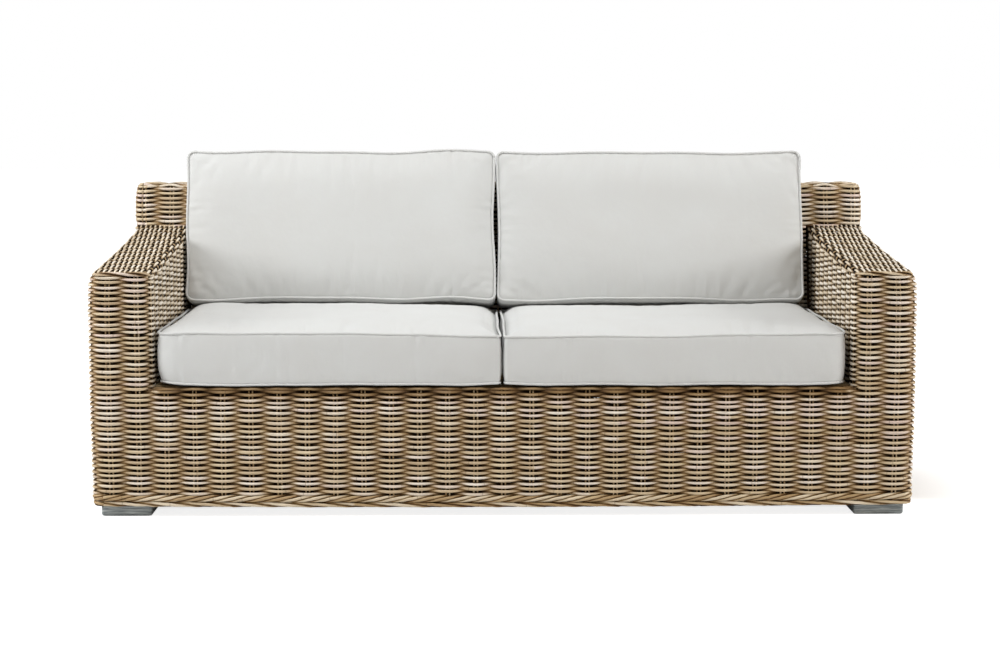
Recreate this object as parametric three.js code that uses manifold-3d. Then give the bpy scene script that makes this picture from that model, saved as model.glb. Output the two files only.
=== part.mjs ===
// Rattan garden sofa: a pole frame on four wooden feet, woven panels over it, a plaited border,
// a slatted deck, and four loose cushions, each with its cover, its foam and its zip.
// Millimetres. +X is to the right seen from the front, +Y is to the back, +Z is up.
// The origin is on the floor, under the middle of the woven body.

import * as THREE from "three";
import { mergeVertices } from "three/addons/utils/BufferGeometryUtils.js";
import Module from "manifold-3d";

const wasm = await Module();
wasm.setup();

// Driving dimensions of the woven body
const wovenWidth = 2124;
const wovenDepth = 920;
const armWidth = 166;
const deckHeight = 335;
const armFrontRise = 300;
const armBackRise = 74;
const backRise = 123;
const backTopDepth = 109;
const panelThickness = 18;
const stakePitch = 72;
const sideStakePitch = 69.6;
const weaveDraw = 5.5;
const armEdgeRadius = 16;
const armTipFall = 5;
const backEdgeRadius = 16;
const fitGap = 0.3;
const cutOverrun = 40;
const backRake = THREE.MathUtils.degToRad(12);
const armSweepShare = 0.2;
const armSweepPower = 3;

// Driving dimensions of the border, the feet, the frame and the deck
const footSize = 130;
const footHeight = 28;
const footInset = 24;
const footChamfer = 3;
const footCornerRadius = 6;
const footShoulder = 2;
const footTopHeight = 52;
const borderHeight = 33;
const borderProud = 5;
const poleDiameter = 30;
const slatWidth = 100;
const slatThickness = 18;
const slatEdgeRadius = 4;
const slatEndInset = 5;
const slatBackGap = 12;
const slatCount = 4;

// Driving dimensions of the cushions
const seatCushionThickness = 134;
const seatCushionCrown = 26;
const seatCushionSag = 8;
const seatCushionSetback = 1;
const seatCushionBackGap = 5;
const backCushionHeight = 441;
const backCushionThickness = 126;
const backCushionCrown = 20;
const backCushionRearCrown = 6;
const cushionArmGap = 7;
const cushionMiddleGap = 6;
const cushionCornerRadius = 30;
const cushionPullIn = 4;
const cushionBulge = 6;
const pipingRadius = 4;
const coverThickness = 3;
const zipWidth = 24;
const zipEndInset = 90;

// Facet counts
const poleSides = 12;
const cornerSteps = 5;
const armSteps = 8;
const edgeSteps = 3;
const waveSteps = 4;

// Places that follow from the driving dimensions
const poleRadius = poleDiameter / 2;
const outerX = wovenWidth / 2;
const innerX = outerX - armWidth;
const armFrontHeight = deckHeight + armFrontRise;
const armBackHeight = armFrontHeight + armBackRise;
const backHeight = armBackHeight + backRise;
const frontY = -wovenDepth / 2;
const backY = wovenDepth / 2;
const poleInset = panelThickness + fitGap + poleRadius;
const cornerRadius = poleInset;
const outerPoleX = outerX - poleInset;
const innerPoleX = innerX + poleInset;
const frontPoleY = frontY + poleInset;
const rearPoleY = backY - poleInset;
const borderTop = footHeight + borderHeight;
const panelBottom = borderTop + fitGap;
const bottomRailZ = footTopHeight + fitGap + poleRadius;
const seatRailZ = deckHeight - slatThickness - fitGap - poleRadius;
const frontSeatRailZ = deckHeight - fitGap - poleRadius;
const topPanelBottom = backHeight - panelThickness;
const topRailZ = topPanelBottom - fitGap - poleRadius;
const wallTop = topPanelBottom - fitGap;

// Colours and finishes
const finish = (color, roughness) => new THREE.MeshStandardMaterial({ color, roughness, metalness: 0 });
const rattan = finish(0xb5a588, 0.65);
const rattanPole = finish(0xc8aa78, 0.55);
const plywood = finish(0xc9b48d, 0.7);
const greyWood = finish(0x858b8d, 0.6);
const canvas = finish(0xe9e8e2, 0.9);
const foam = finish(0xf1e7c4, 0.95);
const zipTape = finish(0xdedcd4, 0.7);

const sofa = new THREE.Group();

// Turns a closed geometry into a solid that can be cut and joined.
function solidOf(geometry) {
  const bare = geometry.clone();
  bare.deleteAttribute("normal");
  bare.deleteAttribute("uv");
  const merged = mergeVertices(bare);
  return new wasm.Manifold(
    new wasm.Mesh({
      numProp: 3,
      vertProperties: merged.attributes.position.array,
      triVerts: new Uint32Array(merged.index.array),
    }),
  );
}

// Turns a solid back into a geometry.
function geometryOf(solid) {
  const mesh = solid.getMesh();
  const geometry = new THREE.BufferGeometry();
  geometry.setAttribute("position", new THREE.BufferAttribute(mesh.vertProperties, mesh.numProp));
  geometry.setIndex(new THREE.BufferAttribute(mesh.triVerts, 1));
  geometry.computeVertexNormals();
  return geometry;
}

// Adds one named piece to the sofa, from a solid.
function addPiece(name, solid, material) {
  const mesh = new THREE.Mesh(geometryOf(solid), material);
  mesh.name = name;
  sofa.add(mesh);
}

// Joins rings of points, all of one length, into a closed skin. Its two ends are closed by fans, or
// the last ring runs on into the first.
function skinOverRings(rings, endless = false) {
  const count = rings[0].length;
  const points = rings.flat();
  const faces = [];
  const spans = endless ? rings.length : rings.length - 1;
  for (let r = 0; r < spans; r++) {
    const here = r * count;
    const next = ((r + 1) % rings.length) * count;
    for (let i = 0; i < count; i++) {
      const j = (i + 1) % count;
      faces.push(here + i, here + j, next + j, here + i, next + j, next + i);
    }
  }
  if (!endless) {
    const last = (rings.length - 1) * count;
    for (let i = 1; i < count - 1; i++) {
      faces.push(0, i + 1, i);
      faces.push(last, last + i, last + i + 1);
    }
  }
  const geometry = new THREE.BufferGeometry().setFromPoints(points);
  geometry.setIndex(faces);
  const solid = solidOf(geometry);
  if (solid.volume() > 0) return solid;
  const turned = [];
  for (let i = 0; i < faces.length; i += 3) turned.push(faces[i], faces[i + 2], faces[i + 1]);
  geometry.setIndex(turned);
  return solidOf(geometry);
}

// A solid with the outline of (y, z) points, running across from one x to another.
function prismAcross(outline, fromX, toX) {
  return skinOverRings([fromX, toX].map((x) => outline.map(([y, z]) => new THREE.Vector3(x, y, z))));
}

// An upright solid with a plan shape, from one height to another.
function upright(shape, fromZ, toZ) {
  const options = { depth: toZ - fromZ, bevelEnabled: false, curveSegments: cornerSteps };
  const geometry = new THREE.ExtrudeGeometry(shape, options);
  geometry.translate(0, 0, fromZ);
  return solidOf(geometry);
}

// A flat plate whose shape is drawn on (x, z), between two values of y.
function plateFacingFront(shape, fromY, toY) {
  const options = { depth: toY - fromY, bevelEnabled: false, curveSegments: cornerSteps };
  const geometry = new THREE.ExtrudeGeometry(shape, options);
  geometry.rotateX(Math.PI / 2);
  geometry.translate(0, toY, 0);
  return solidOf(geometry);
}

// The points of a rectangle with round corners, in plan, at one height.
function roundedRing(minX, maxX, minY, maxY, radius, z, steps = cornerSteps) {
  const quarter = Math.PI / 2;
  const corners = [
    [maxX - radius, maxY - radius, 0],
    [minX + radius, maxY - radius, quarter],
    [minX + radius, minY + radius, 2 * quarter],
    [maxX - radius, minY + radius, 3 * quarter],
  ];
  return corners.flatMap(([x, y, start]) =>
    Array.from({ length: steps + 1 }, (_, i) => {
      const angle = start + (quarter * i) / steps;
      return new THREE.Vector3(x + radius * Math.cos(angle), y + radius * Math.sin(angle), z);
    }),
  );
}

// Where the leaning front face of the backrest is, at a height.
function faceY(z) {
  return backY - backTopDepth - (backHeight - z) * Math.tan(backRake);
}

const faceFootY = faceY(armBackHeight);

// The height of the top of an arm, which rises towards the backrest and sweeps up at its end.
function armTopZ(y) {
  const share = Math.min(1, (y - frontY) / (faceFootY - frontY));
  const sweep = (1 - armSweepShare) * share + armSweepShare * share ** armSweepPower;
  return armFrontHeight + (armBackHeight - armFrontHeight) * sweep;
}

// The slope of the top of an arm, as an angle.
function armSlope(y) {
  const step = (faceFootY - frontY) / armSteps;
  return Math.atan2(armTopZ(y + step) - armTopZ(y - step), 2 * step);
}

// Stations along the top of an arm, sunk square to it by a depth, as (y, z) points.
function armLine(depth, steps = armSteps, fromY = frontY, toY = faceFootY) {
  return Array.from({ length: steps + 1 }, (_, i) => {
    const y = fromY + ((toY - fromY) * i) / steps;
    return [y + depth * Math.sin(armSlope(y)), armTopZ(y) - depth * Math.cos(armSlope(y))];
  });
}

// How high a thing under the top panel of an arm can reach, at a distance from the front.
function underArmTop(y) {
  return armTopZ(y) - (panelThickness + fitGap) / Math.cos(armSlope(y));
}

// Pole frame

// A round pole along a path of points. The reference keeps its facets from turning.
function poleAlong(path, radius, reference) {
  const rings = path.map((point, i) => {
    const before = path[Math.max(0, i - 1)];
    const after = path[Math.min(path.length - 1, i + 1)];
    const along = after.clone().sub(before).normalize();
    const side = reference.clone().addScaledVector(along, -reference.dot(along)).normalize();
    const other = along.clone().cross(side);
    return Array.from({ length: poleSides }, (_, k) => {
      const angle = (2 * Math.PI * k) / poleSides;
      return point
        .clone()
        .addScaledVector(side, radius * Math.cos(angle))
        .addScaledVector(other, radius * Math.sin(angle));
    });
  });
  return skinOverRings(rings);
}

const across = new THREE.Vector3(1, 0, 0);
const upwards = new THREE.Vector3(0, 0, 1);
const cutterRadius = poleRadius + fitGap / Math.cos(Math.PI / poleSides);
const mouthShare = 0.6;
const mouth = mouthShare * poleRadius;
const poles = new Map();

// Adds a pole whose ends are hollowed to fit round the poles that they meet.
function addPole(name, path, reference, meets = []) {
  const points = path.map((p) => new THREE.Vector3(...p));
  let solid = poleAlong(points, poleRadius, reference);
  for (const other of meets) solid = solid.subtract(poles.get(other).cutter);
  poles.set(name, { cutter: poleAlong(points, cutterRadius, reference) });
  addPiece(name, solid, rattanPole);
}

const sides = [
  ["left", -1],
  ["right", 1],
];

// The axis of a pole behind the leaning face, at a height.
const stileY = (z) => faceY(z) + poleInset / Math.cos(backRake);
const rearSeatRailY = stileY(seatRailZ);
const frontTopRailY = stileY(topRailZ);
const armFrontTop = armTopZ(frontPoleY) - poleInset - poleRadius - fitGap;

function addCornerPosts() {
  for (const [side, sign] of sides) {
    const x = sign * outerPoleX;
    const frontTop = underArmTop(frontPoleY - poleRadius);
    const foot = footTopHeight + fitGap;
    addPole(`post_front_outer_${side}`, [[x, frontPoleY, foot], [x, frontPoleY, frontTop]], across);
    addPole(`post_back_outer_${side}`, [[x, rearPoleY, foot], [x, rearPoleY, wallTop]], across);
  }
}

function addBottomRails() {
  const reach = outerPoleX - mouth;
  for (const [end, y] of [["front", frontPoleY], ["back", rearPoleY]]) {
    const posts = sides.map(([side]) => `post_${end}_outer_${side}`);
    addPole(`rail_bottom_${end}`, [[-reach, y, bottomRailZ], [reach, y, bottomRailZ]], upwards, posts);
  }
  for (const [side, sign] of sides) {
    const x = sign * outerPoleX;
    const path = [[x, frontPoleY + mouth, bottomRailZ], [x, rearPoleY - mouth, bottomRailZ]];
    const met = [`post_front_outer_${side}`, `post_back_outer_${side}`, "rail_bottom_front", "rail_bottom_back"];
    addPole(`rail_bottom_${side}`, path, upwards, met);
  }
}

function addInnerPosts() {
  const foot = bottomRailZ + mouth;
  for (const [side, sign] of sides) {
    const x = sign * innerPoleX;
    const frontTop = underArmTop(frontPoleY - poleRadius);
    const front = [[x, frontPoleY, foot], [x, frontPoleY, frontTop]];
    addPole(`post_front_inner_${side}`, front, across, ["rail_bottom_front"]);
    const back = [[x, rearPoleY, foot], [x, rearPoleY, topRailZ - mouth]];
    addPole(`post_back_inner_${side}`, back, across, ["rail_bottom_back", "rail_top_back"]);
  }
}

function addBackTopRails() {
  const reach = outerPoleX - mouth;
  const posts = sides.map(([side]) => `post_back_outer_${side}`);
  addPole("rail_top_back", [[-reach, rearPoleY, topRailZ], [reach, rearPoleY, topRailZ]], upwards, posts);
  const end = outerX - cornerRadius;
  addPole("rail_top_front", [[-end, frontTopRailY, topRailZ], [end, frontTopRailY, topRailZ]], upwards);
}

function addSeatRails() {
  const reach = innerPoleX - mouth;
  const posts = sides.map(([side]) => `post_front_inner_${side}`);
  const front = [[-reach, frontPoleY, frontSeatRailZ], [reach, frontPoleY, frontSeatRailZ]];
  addPole("rail_seat_front", front, upwards, posts);
  for (const [side, sign] of sides) {
    const x = sign * innerPoleX;
    const path = [[x, frontPoleY + mouth, seatRailZ], [x, rearPoleY - mouth, seatRailZ]];
    const met = [`post_front_inner_${side}`, `post_back_inner_${side}`, "rail_seat_front"];
    addPole(`rail_seat_${side}`, path, upwards, met);
  }
  const back = [[-reach, rearSeatRailY, seatRailZ], [reach, rearSeatRailY, seatRailZ]];
  addPole("rail_seat_back", back, upwards, ["rail_seat_left", "rail_seat_right"]);
  const middle = [[0, frontPoleY + mouth, seatRailZ], [0, rearSeatRailY - mouth, seatRailZ]];
  addPole("rail_seat_middle", middle, upwards, ["rail_seat_front", "rail_seat_back"]);
  const prop = [[0, frontPoleY, bottomRailZ + mouth], [0, frontPoleY, frontSeatRailZ - mouth]];
  addPole("post_front_middle", prop, across, ["rail_bottom_front", "rail_seat_front", "rail_seat_middle"]);
}

function addBackStiles() {
  const places = [
    ["left", -innerPoleX],
    ["middle", 0],
    ["right", innerPoleX],
  ];
  const foot = seatRailZ + mouth;
  const head = topRailZ - mouth;
  for (const [side, x] of places) {
    const met = [`rail_seat_${side}`, "rail_seat_back", "rail_top_front"];
    addPole(`stile_back_${side}`, [[x, stileY(foot), foot], [x, stileY(head), head]], across, met);
  }
}

// The bent poles under the top of an arm, and the short one across its front.
function addArmRails() {
  for (const [side, sign] of sides) {
    const outer = armLine(poleInset, armSteps, frontPoleY + mouth)
      .map(([y, z]) => [sign * outerPoleX, y, z]);
    const outerEnd = [sign * outerPoleX, rearPoleY - mouth, armBackHeight - poleInset];
    const outerPosts = [`post_front_outer_${side}`, `post_back_outer_${side}`];
    addPole(`rail_arm_outer_${side}`, [...outer, outerEnd], across, outerPosts);
    const stopY = stileY(armBackHeight - poleInset) - mouth;
    const inner = armLine(poleInset, armSteps, frontPoleY + mouth, stopY)
      .map(([y, z]) => [sign * innerPoleX, y, z]);
    const innerPosts = [`post_front_inner_${side}`, `stile_back_${side}`];
    addPole(`rail_arm_inner_${side}`, inner, across, innerPosts);
    const ends = [innerPoleX + mouth, outerPoleX - mouth].map((x) => [sign * x, frontPoleY, armFrontTop]);
    const met = [`post_front_outer_${side}`, `post_front_inner_${side}`, `rail_arm_outer_${side}`];
    addPole(`rail_arm_front_${side}`, ends, upwards, [...met, `rail_arm_inner_${side}`]);
  }
}

// Feet

// A square block with soft edges, its top cut back to go up inside the border.
function addFeet() {
  const half = footSize / 2;
  for (const [end, endSign] of [["front", -1], ["back", 1]]) {
    for (const [side, sign] of sides) {
      const x = sign * (outerX - footInset - half);
      const y = endSign * (backY - footInset - half);
      const level = (inset, z) => {
        const reach = half - inset;
        return roundedRing(x - reach, x + reach, y - reach, y + reach, footCornerRadius, z, 2);
      };
      const block = skinOverRings([level(footChamfer, 0), level(0, footChamfer), level(0, footHeight - fitGap)]);
      const neck = skinOverRings([level(footShoulder, footChamfer), level(footShoulder, footTopHeight)]);
      addPiece(`foot_${end}_${side}`, block.add(neck), greyWood);
    }
  }
}

// Border

// The plaited border runs round the bottom edge of the weave, oval in section.
function addBorder() {
  const steps = 12;
  const depth = panelThickness + borderProud;
  const rings = Array.from({ length: steps }, (_, i) => {
    const angle = (2 * Math.PI * i) / steps;
    const inset = (depth * (1 - Math.cos(angle))) / 2 - borderProud;
    const z = footHeight + (borderHeight * (1 + Math.sin(angle))) / 2;
    const [x, y] = [outerX - inset, backY - inset];
    return roundedRing(-x, x, -y, y, cornerRadius - inset, z);
  });
  addPiece("border_base", skinOverRings(rings, true), rattan);
}

// Slatted deck

function addSlats() {
  const reach = innerPoleX + poleRadius - slatEndInset;
  const first = frontPoleY + poleRadius + slatBackGap;
  const last = faceY(deckHeight - slatThickness) + panelThickness - slatWidth;
  for (let i = 0; i < slatCount; i++) {
    const y = first + ((last - first) * i) / (slatCount - 1);
    const level = (inset, z) =>
      roundedRing(-reach + inset, reach - inset, y + inset, y + slatWidth - inset, slatEdgeRadius, z, 1);
    const base = deckHeight - slatThickness;
    const rings = [level(0, base), level(0, deckHeight - slatEdgeRadius / 2), level(slatEdgeRadius / 2, deckHeight)];
    addPiece(`slat_${i + 1}`, skinOverRings(rings), plywood);
  }
}

// Woven panels

// The region above the arm's panel and before the backrest, as a (y, z) outline to cut away.
function aboveArm(depth, wallSetback) {
  const line = armLine(depth).filter(([y]) => y > frontY && y < faceFootY);
  const far = cutOverrun;
  const sky = backHeight + far;
  const startZ = armLine(depth)[0][1];
  const ledgeY = faceFootY + fitGap;
  return [
    [frontY - far, startZ],
    [frontY, startZ],
    ...line,
    [ledgeY, armLine(depth).at(-1)[1]],
    [ledgeY, armBackHeight],
    [faceY(armBackHeight) + wallSetback, armBackHeight],
    [faceY(sky) + wallSetback, sky],
    [frontY - far, sky],
  ];
}

// How far a woven wall draws in at places along a run, set out from its middle: nothing at each
// stake, and most halfway between two, where the weavers cross from one side to the other.
function drawnIn(halfRun, pitch) {
  const last = Math.ceil(halfRun / pitch) - 1;
  return Array.from({ length: 2 * last * waveSteps + 1 }, (_, i) => {
    const stakes = i / waveSteps - last;
    return [pitch * stakes, weaveDraw * (1 - Math.abs(Math.cos(Math.PI * stakes)))];
  });
}

// The plan of a wall that faces front or back, between its two ends.
function wallPlan(edge, face, inwards) {
  const skin = face + inwards * panelThickness;
  const wave = drawnIn(edge, stakePitch).map(([x, draw]) => new THREE.Vector2(x, face + inwards * draw));
  return new THREE.Shape([
    new THREE.Vector2(-edge, skin),
    new THREE.Vector2(-edge, face),
    ...wave,
    new THREE.Vector2(edge, face),
    new THREE.Vector2(edge, skin),
  ]);
}

// The front panel: the full width below the deck, and the fronts of both arms.
function addFrontPanel() {
  const edge = outerX - cornerRadius - fitGap;
  const armStart = innerX + cornerRadius + fitGap;
  const top = armLine(panelThickness + fitGap)[0][1];
  const sill = deckHeight - fitGap;
  const wall = upright(wallPlan(edge, frontY, 1), panelBottom, top);
  const [before, behind] = [frontY - cutOverrun, frontY + panelThickness + cutOverrun];
  const sky = top + cutOverrun;
  const seat = prismAcross([[before, sill], [behind, sill], [behind, sky], [before, sky]], -armStart, armStart);
  addPiece("woven_front", wall.subtract(seat), rattan);
}

// A band of panel thickness in plan: along x, round the corner at the front, and round the one at
// the back if it has one. The bend is towards the inside of the sofa's arm or back. A wave draws its
// face in at places along y.
function sideBand(sign, faceX, inwards, hasBackCorner, endY, wave = []) {
  const shape = new THREE.Shape();
  const outer = cornerRadius;
  const inner = cornerRadius - panelThickness;
  const centre = faceX + inwards * cornerRadius;
  const skinX = faceX + inwards * panelThickness;
  const towards = (x) => sign * x;
  const quarter = Math.PI / 2;
  const arc = (y, radius, start, turn) =>
    Array.from({ length: cornerSteps + 1 }, (_, i) => {
      const angle = start + (turn * i) / cornerSteps;
      const x = centre - inwards * radius * Math.cos(angle);
      return new THREE.Vector2(towards(x), y + radius * Math.sin(angle));
    });
  const front = frontY + cornerRadius;
  const back = backY - cornerRadius;
  const outline = [...arc(front, outer, -quarter, quarter)];
  for (const [y, draw] of wave) outline.push(new THREE.Vector2(towards(faceX + inwards * draw), y));
  if (hasBackCorner) outline.push(...arc(back, outer, 0, quarter), ...arc(back, inner, quarter, -quarter));
  else outline.push(new THREE.Vector2(towards(faceX), endY), new THREE.Vector2(towards(skinX), endY));
  outline.push(...arc(front, inner, 0, -quarter));
  shape.setFromPoints(outline);
  return shape;
}

// The round corner between the backrest's leaning face and its end, from the arm to the top. It
// laps into the wall behind it.
function backrestCorner(sign) {
  const quarter = Math.PI / 2;
  const centreX = outerX - cornerRadius;
  const levels = [armBackHeight, wallTop];
  const rings = levels.map((z) => {
    const y = faceY(z) + cornerRadius;
    const arc = (radius, start, turn) =>
      Array.from({ length: cornerSteps + 1 }, (_, i) => {
        const angle = start + (turn * i) / cornerSteps;
        const x = sign * (centreX + radius * Math.cos(angle));
        return new THREE.Vector3(x, y + radius * Math.sin(angle), z);
      });
    const lap = [outerX, outerX - panelThickness].map((x) => new THREE.Vector3(sign * x, y + cornerRadius, z));
    return [...arc(cornerRadius, -quarter, quarter), ...lap, ...arc(cornerRadius - panelThickness, 0, -quarter)];
  });
  return stripBetween(rings);
}

// A curved strip between two rings whose ends are bands: each ring runs out along one edge and back
// along the other, so its end faces are cut into quads across the band.
function stripBetween(rings) {
  const count = rings[0].length;
  const half = count / 2;
  const points = rings.flat();
  const faces = [];
  for (let i = 0; i < count; i++) {
    const j = (i + 1) % count;
    faces.push(i, j, count + j, i, count + j, count + i);
  }
  for (let i = 0; i < half - 1; i++) {
    const [a, b, c, d] = [i, i + 1, count - 2 - i, count - 1 - i];
    faces.push(a, c, b, a, d, c);
    faces.push(count + a, count + b, count + c, count + a, count + c, count + d);
  }
  const geometry = new THREE.BufferGeometry().setFromPoints(points);
  geometry.setIndex(faces);
  const solid = solidOf(geometry);
  if (solid.volume() > 0) return solid;
  const turned = [];
  for (let i = 0; i < faces.length; i += 3) turned.push(faces[i], faces[i + 2], faces[i + 1]);
  geometry.setIndex(turned);
  return solidOf(geometry);
}

function addSidePanels() {
  const cut = aboveArm(panelThickness + fitGap, cornerRadius);
  const wave = drawnIn(backY - cornerRadius, sideStakePitch);
  for (const [side, sign] of sides) {
    const waved = upright(sideBand(sign, outerX, -1, true, backY, wave), panelBottom, wallTop);
    const plain = upright(sideBand(sign, outerX, -1, true), panelBottom, wallTop);
    const away = prismAcross(cut, -outerX - cutOverrun, outerX + cutOverrun);
    const wall = waved.add(plain.trimByPlane([0, 0, 1], armBackHeight)).subtract(away);
    addPiece(`woven_side_${side}`, wall.add(backrestCorner(sign)), rattan);
  }
}

function addBackPanel() {
  const edge = outerX - cornerRadius - fitGap;
  addPiece("woven_back", upright(wallPlan(edge, backY, -1), panelBottom, wallTop), rattan);
}

// The region behind the leaning face, from a depth behind it, as a solid to cut with.
function behindFace(depth) {
  const shift = depth / Math.cos(backRake);
  const sky = backHeight + cutOverrun;
  const far = backY + cutOverrun;
  const outline = [[faceY(0) + shift, 0], [far, 0], [far, sky], [faceY(sky) + shift, sky]];
  return prismAcross(outline, -outerX - cutOverrun, outerX + cutOverrun);
}

// The leaning panel that the back cushions rest on. Above the arms it spans the whole sofa.
function addBackrestPanel() {
  const edge = outerX - cornerRadius - fitGap;
  const inside = innerX - fitGap;
  const low = deckHeight + fitGap;
  const ledge = armBackHeight + fitGap;
  const shape = new THREE.Shape([
    new THREE.Vector2(-inside, low),
    new THREE.Vector2(inside, low),
    new THREE.Vector2(inside, ledge),
    new THREE.Vector2(edge, ledge),
    new THREE.Vector2(edge, wallTop),
    new THREE.Vector2(-edge, wallTop),
    new THREE.Vector2(-edge, ledge),
    new THREE.Vector2(-inside, ledge),
  ]);
  const block = plateFacingFront(shape, frontY, backY);
  addPiece("woven_backrest", block.intersect(behindFace(0)).subtract(behindFace(panelThickness)), rattan);
}

// The top of the backrest, with its upper edge rounded over.
function addBackTopPanel() {
  const level = (inset, z) =>
    roundedRing(-outerX + inset, outerX - inset, faceY(z) + inset, backY - inset, cornerRadius - inset, z);
  const rings = [level(0, topPanelBottom)];
  for (let i = 0; i <= edgeSteps; i++) {
    const angle = (Math.PI / 2) * (i / edgeSteps);
    const inset = backEdgeRadius * (1 - Math.cos(angle));
    rings.push(level(inset, backHeight - backEdgeRadius * (1 - Math.sin(angle))));
  }
  addPiece("woven_back_top", skinOverRings(rings), rattan);
}

function addInnerArmPanels() {
  const cut = aboveArm(panelThickness + fitGap, 0);
  const away = prismAcross(cut, -outerX, outerX);
  const behind = behindFace(panelThickness);
  for (const [side, sign] of sides) {
    const band = sideBand(sign, innerX, 1, false, rearPoleY);
    const wall = upright(band, deckHeight + fitGap, armBackHeight).subtract(away).subtract(behind);
    addPiece(`woven_arm_inner_${side}`, wall, rattan);
  }
}

// The top of an arm: a strip with rounded long edges that follows the sweep of the arm.
function addArmTops() {
  const quarter = Math.PI / 2;
  const radius = armEdgeRadius;
  const section = [[innerX, -panelThickness]];
  for (let i = 0; i <= edgeSteps; i++) {
    const angle = quarter * (i / edgeSteps);
    section.push([innerX + radius * (1 - Math.cos(angle)), radius * (Math.sin(angle) - 1)]);
  }
  for (let i = edgeSteps; i >= 0; i--) {
    const angle = quarter * (i / edgeSteps);
    section.push([outerX - radius * (1 - Math.cos(angle)), radius * (Math.sin(angle) - 1)]);
  }
  section.push([outerX, -panelThickness]);
  const surface = armLine(0);
  const underside = armLine(panelThickness);
  const tip = surface.map((_, i) => (i === 0 ? armTipFall : 0));
  const behind = behindFace(-fitGap);
  for (const [side, sign] of sides) {
    const rings = surface.map(([y, z], i) =>
      section.map(([x, drop]) => {
        const share = -drop / panelThickness;
        const [lowY, lowZ] = underside[i];
        const fall = tip[i] * (1 - share);
        return new THREE.Vector3(sign * x, y + (lowY - y) * share, z + (lowZ - z) * share - fall);
      }),
    );
    const past = rings.at(-1).map((p) => new THREE.Vector3(p.x, p.y + cutOverrun, p.z));
    const strip = skinOverRings([...rings, past]).subtract(behind);
    const [near, far] = [sign * innerX, sign * outerX].sort((a, b) => a - b);
    const plan = roundedRing(near, far, frontY, backY, cornerRadius, 0);
    const high = plan.map((p) => new THREE.Vector3(p.x, p.y, backHeight));
    addPiece(`woven_arm_top_${side}`, strip.intersect(skinOverRings([plan, high])), rattan);
  }
}

// Cushions

const crownPower = 4;
const grooveShare = 2.2;
const boxingShare = 1.4;
const bulgeShares = [[-0.55, 0.7], [0, 1], [0.55, 0.7]];
const crownShares = [0.92, 0.75, 0.45];
const innerCrownShares = [0.75, 0.45];
const beadAngles = [-70, -15, 40, 95].map(THREE.MathUtils.degToRad);
const sideShares = [0.25, 0.5, 0.75];
const cushionCornerSteps = 3;

// The outline of a cushion in plan. Its corners are round and its sides pull in between them.
function cushionRing(halfWidth, halfDepth, inset, scale, z) {
  const [a, b] = [(halfWidth - inset) * scale, (halfDepth - inset) * scale];
  const radius = Math.max(cushionCornerRadius - inset, pipingRadius) * scale;
  const corners = roundedRing(-a, a, -b, b, radius, z, cushionCornerSteps);
  const perCorner = cushionCornerSteps + 1;
  const ring = [];
  for (let c = 0; c < 4; c++) {
    const arc = corners.slice(c * perCorner, (c + 1) * perCorner);
    const next = corners[((c + 1) * perCorner) % corners.length];
    ring.push(...arc);
    for (const share of sideShares) {
      const point = arc.at(-1).clone().lerp(next, share);
      const pull = cushionPullIn * scale * (1 - (2 * share - 1) ** 2);
      const inwards = c % 2 === 0 ? new THREE.Vector3(0, -Math.sign(point.y), 0) : new THREE.Vector3(-Math.sign(point.x), 0, 0);
      ring.push(point.addScaledVector(inwards, pull));
    }
  }
  return ring;
}

// The outside of a boxed cushion: crowned panels, a piping bead round each, and a boxing that swells.
function cushionOutside(size) {
  const { halfWidth, halfDepth, half, crownTop, crownBottom } = size;
  const ring = (inset, scale, z) => cushionRing(halfWidth, halfDepth, inset, scale, z);
  const panel = (crown) =>
    crownShares.map((s) => ring(pipingRadius * grooveShare, s, half + crown * (1 - s ** crownPower)));
  const bead = beadAngles.map((angle) =>
    ring(pipingRadius * (1 - Math.cos(angle)), 1, half + pipingRadius * Math.sin(angle)),
  );
  const flip = (rings) => rings.map((r) => r.map((p) => new THREE.Vector3(p.x, p.y, -p.z))).reverse();
  const groove = [ring(pipingRadius * grooveShare, 1, half)];
  const boxing = bulgeShares.map(([height, bulge]) =>
    ring(pipingRadius * boxingShare - cushionBulge * bulge, 1, half * height),
  );
  const lower = flip([...bead, ...groove, ...panel(crownBottom)]);
  return skinWithPoles([...lower, ...boxing, ...bead, ...groove, ...panel(crownTop)], -half - crownBottom, half + crownTop);
}

// The space inside a cushion's cover, or the foam in it: the outside taken in by a depth.
function cushionInside(size, depth) {
  const { halfWidth, halfDepth, half, crownTop, crownBottom } = size;
  const ring = (inset, scale, z) => cushionRing(halfWidth, halfDepth, inset + depth, scale, z);
  const panel = (crown) =>
    innerCrownShares.map((s) => ring(pipingRadius * grooveShare, s, half - depth + crown * (1 - s ** crownPower)));
  const flip = (rings) => rings.map((r) => r.map((p) => new THREE.Vector3(p.x, p.y, -p.z))).reverse();
  const seam = [ring(pipingRadius * grooveShare, 1, half - depth)];
  const boxing = bulgeShares.map(([height, bulge]) =>
    ring(pipingRadius * boxingShare - cushionBulge * bulge, 1, half * height),
  );
  const rings = [...flip([...seam, ...panel(crownBottom)]), ...boxing, ...seam, ...panel(crownTop)];
  return skinWithPoles(rings, -half - crownBottom + depth, half + crownTop - depth);
}

// A skin over rings that closes on one point at the bottom and one at the top.
function skinWithPoles(rings, bottomZ, topZ) {
  const count = rings[0].length;
  const points = [...rings.flat(), new THREE.Vector3(0, 0, bottomZ), new THREE.Vector3(0, 0, topZ)];
  const [bottom, top] = [points.length - 2, points.length - 1];
  const last = (rings.length - 1) * count;
  const faces = [];
  for (let i = 0; i < count; i++) {
    const j = (i + 1) % count;
    for (let r = 0; r < rings.length - 1; r++) {
      const [here, next] = [r * count, (r + 1) * count];
      faces.push(here + i, here + j, next + j, here + i, next + j, next + i);
    }
    faces.push(bottom, j, i);
    faces.push(top, last + i, last + j);
  }
  const geometry = new THREE.BufferGeometry().setFromPoints(points);
  geometry.setIndex(faces);
  return solidOf(geometry);
}

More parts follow.
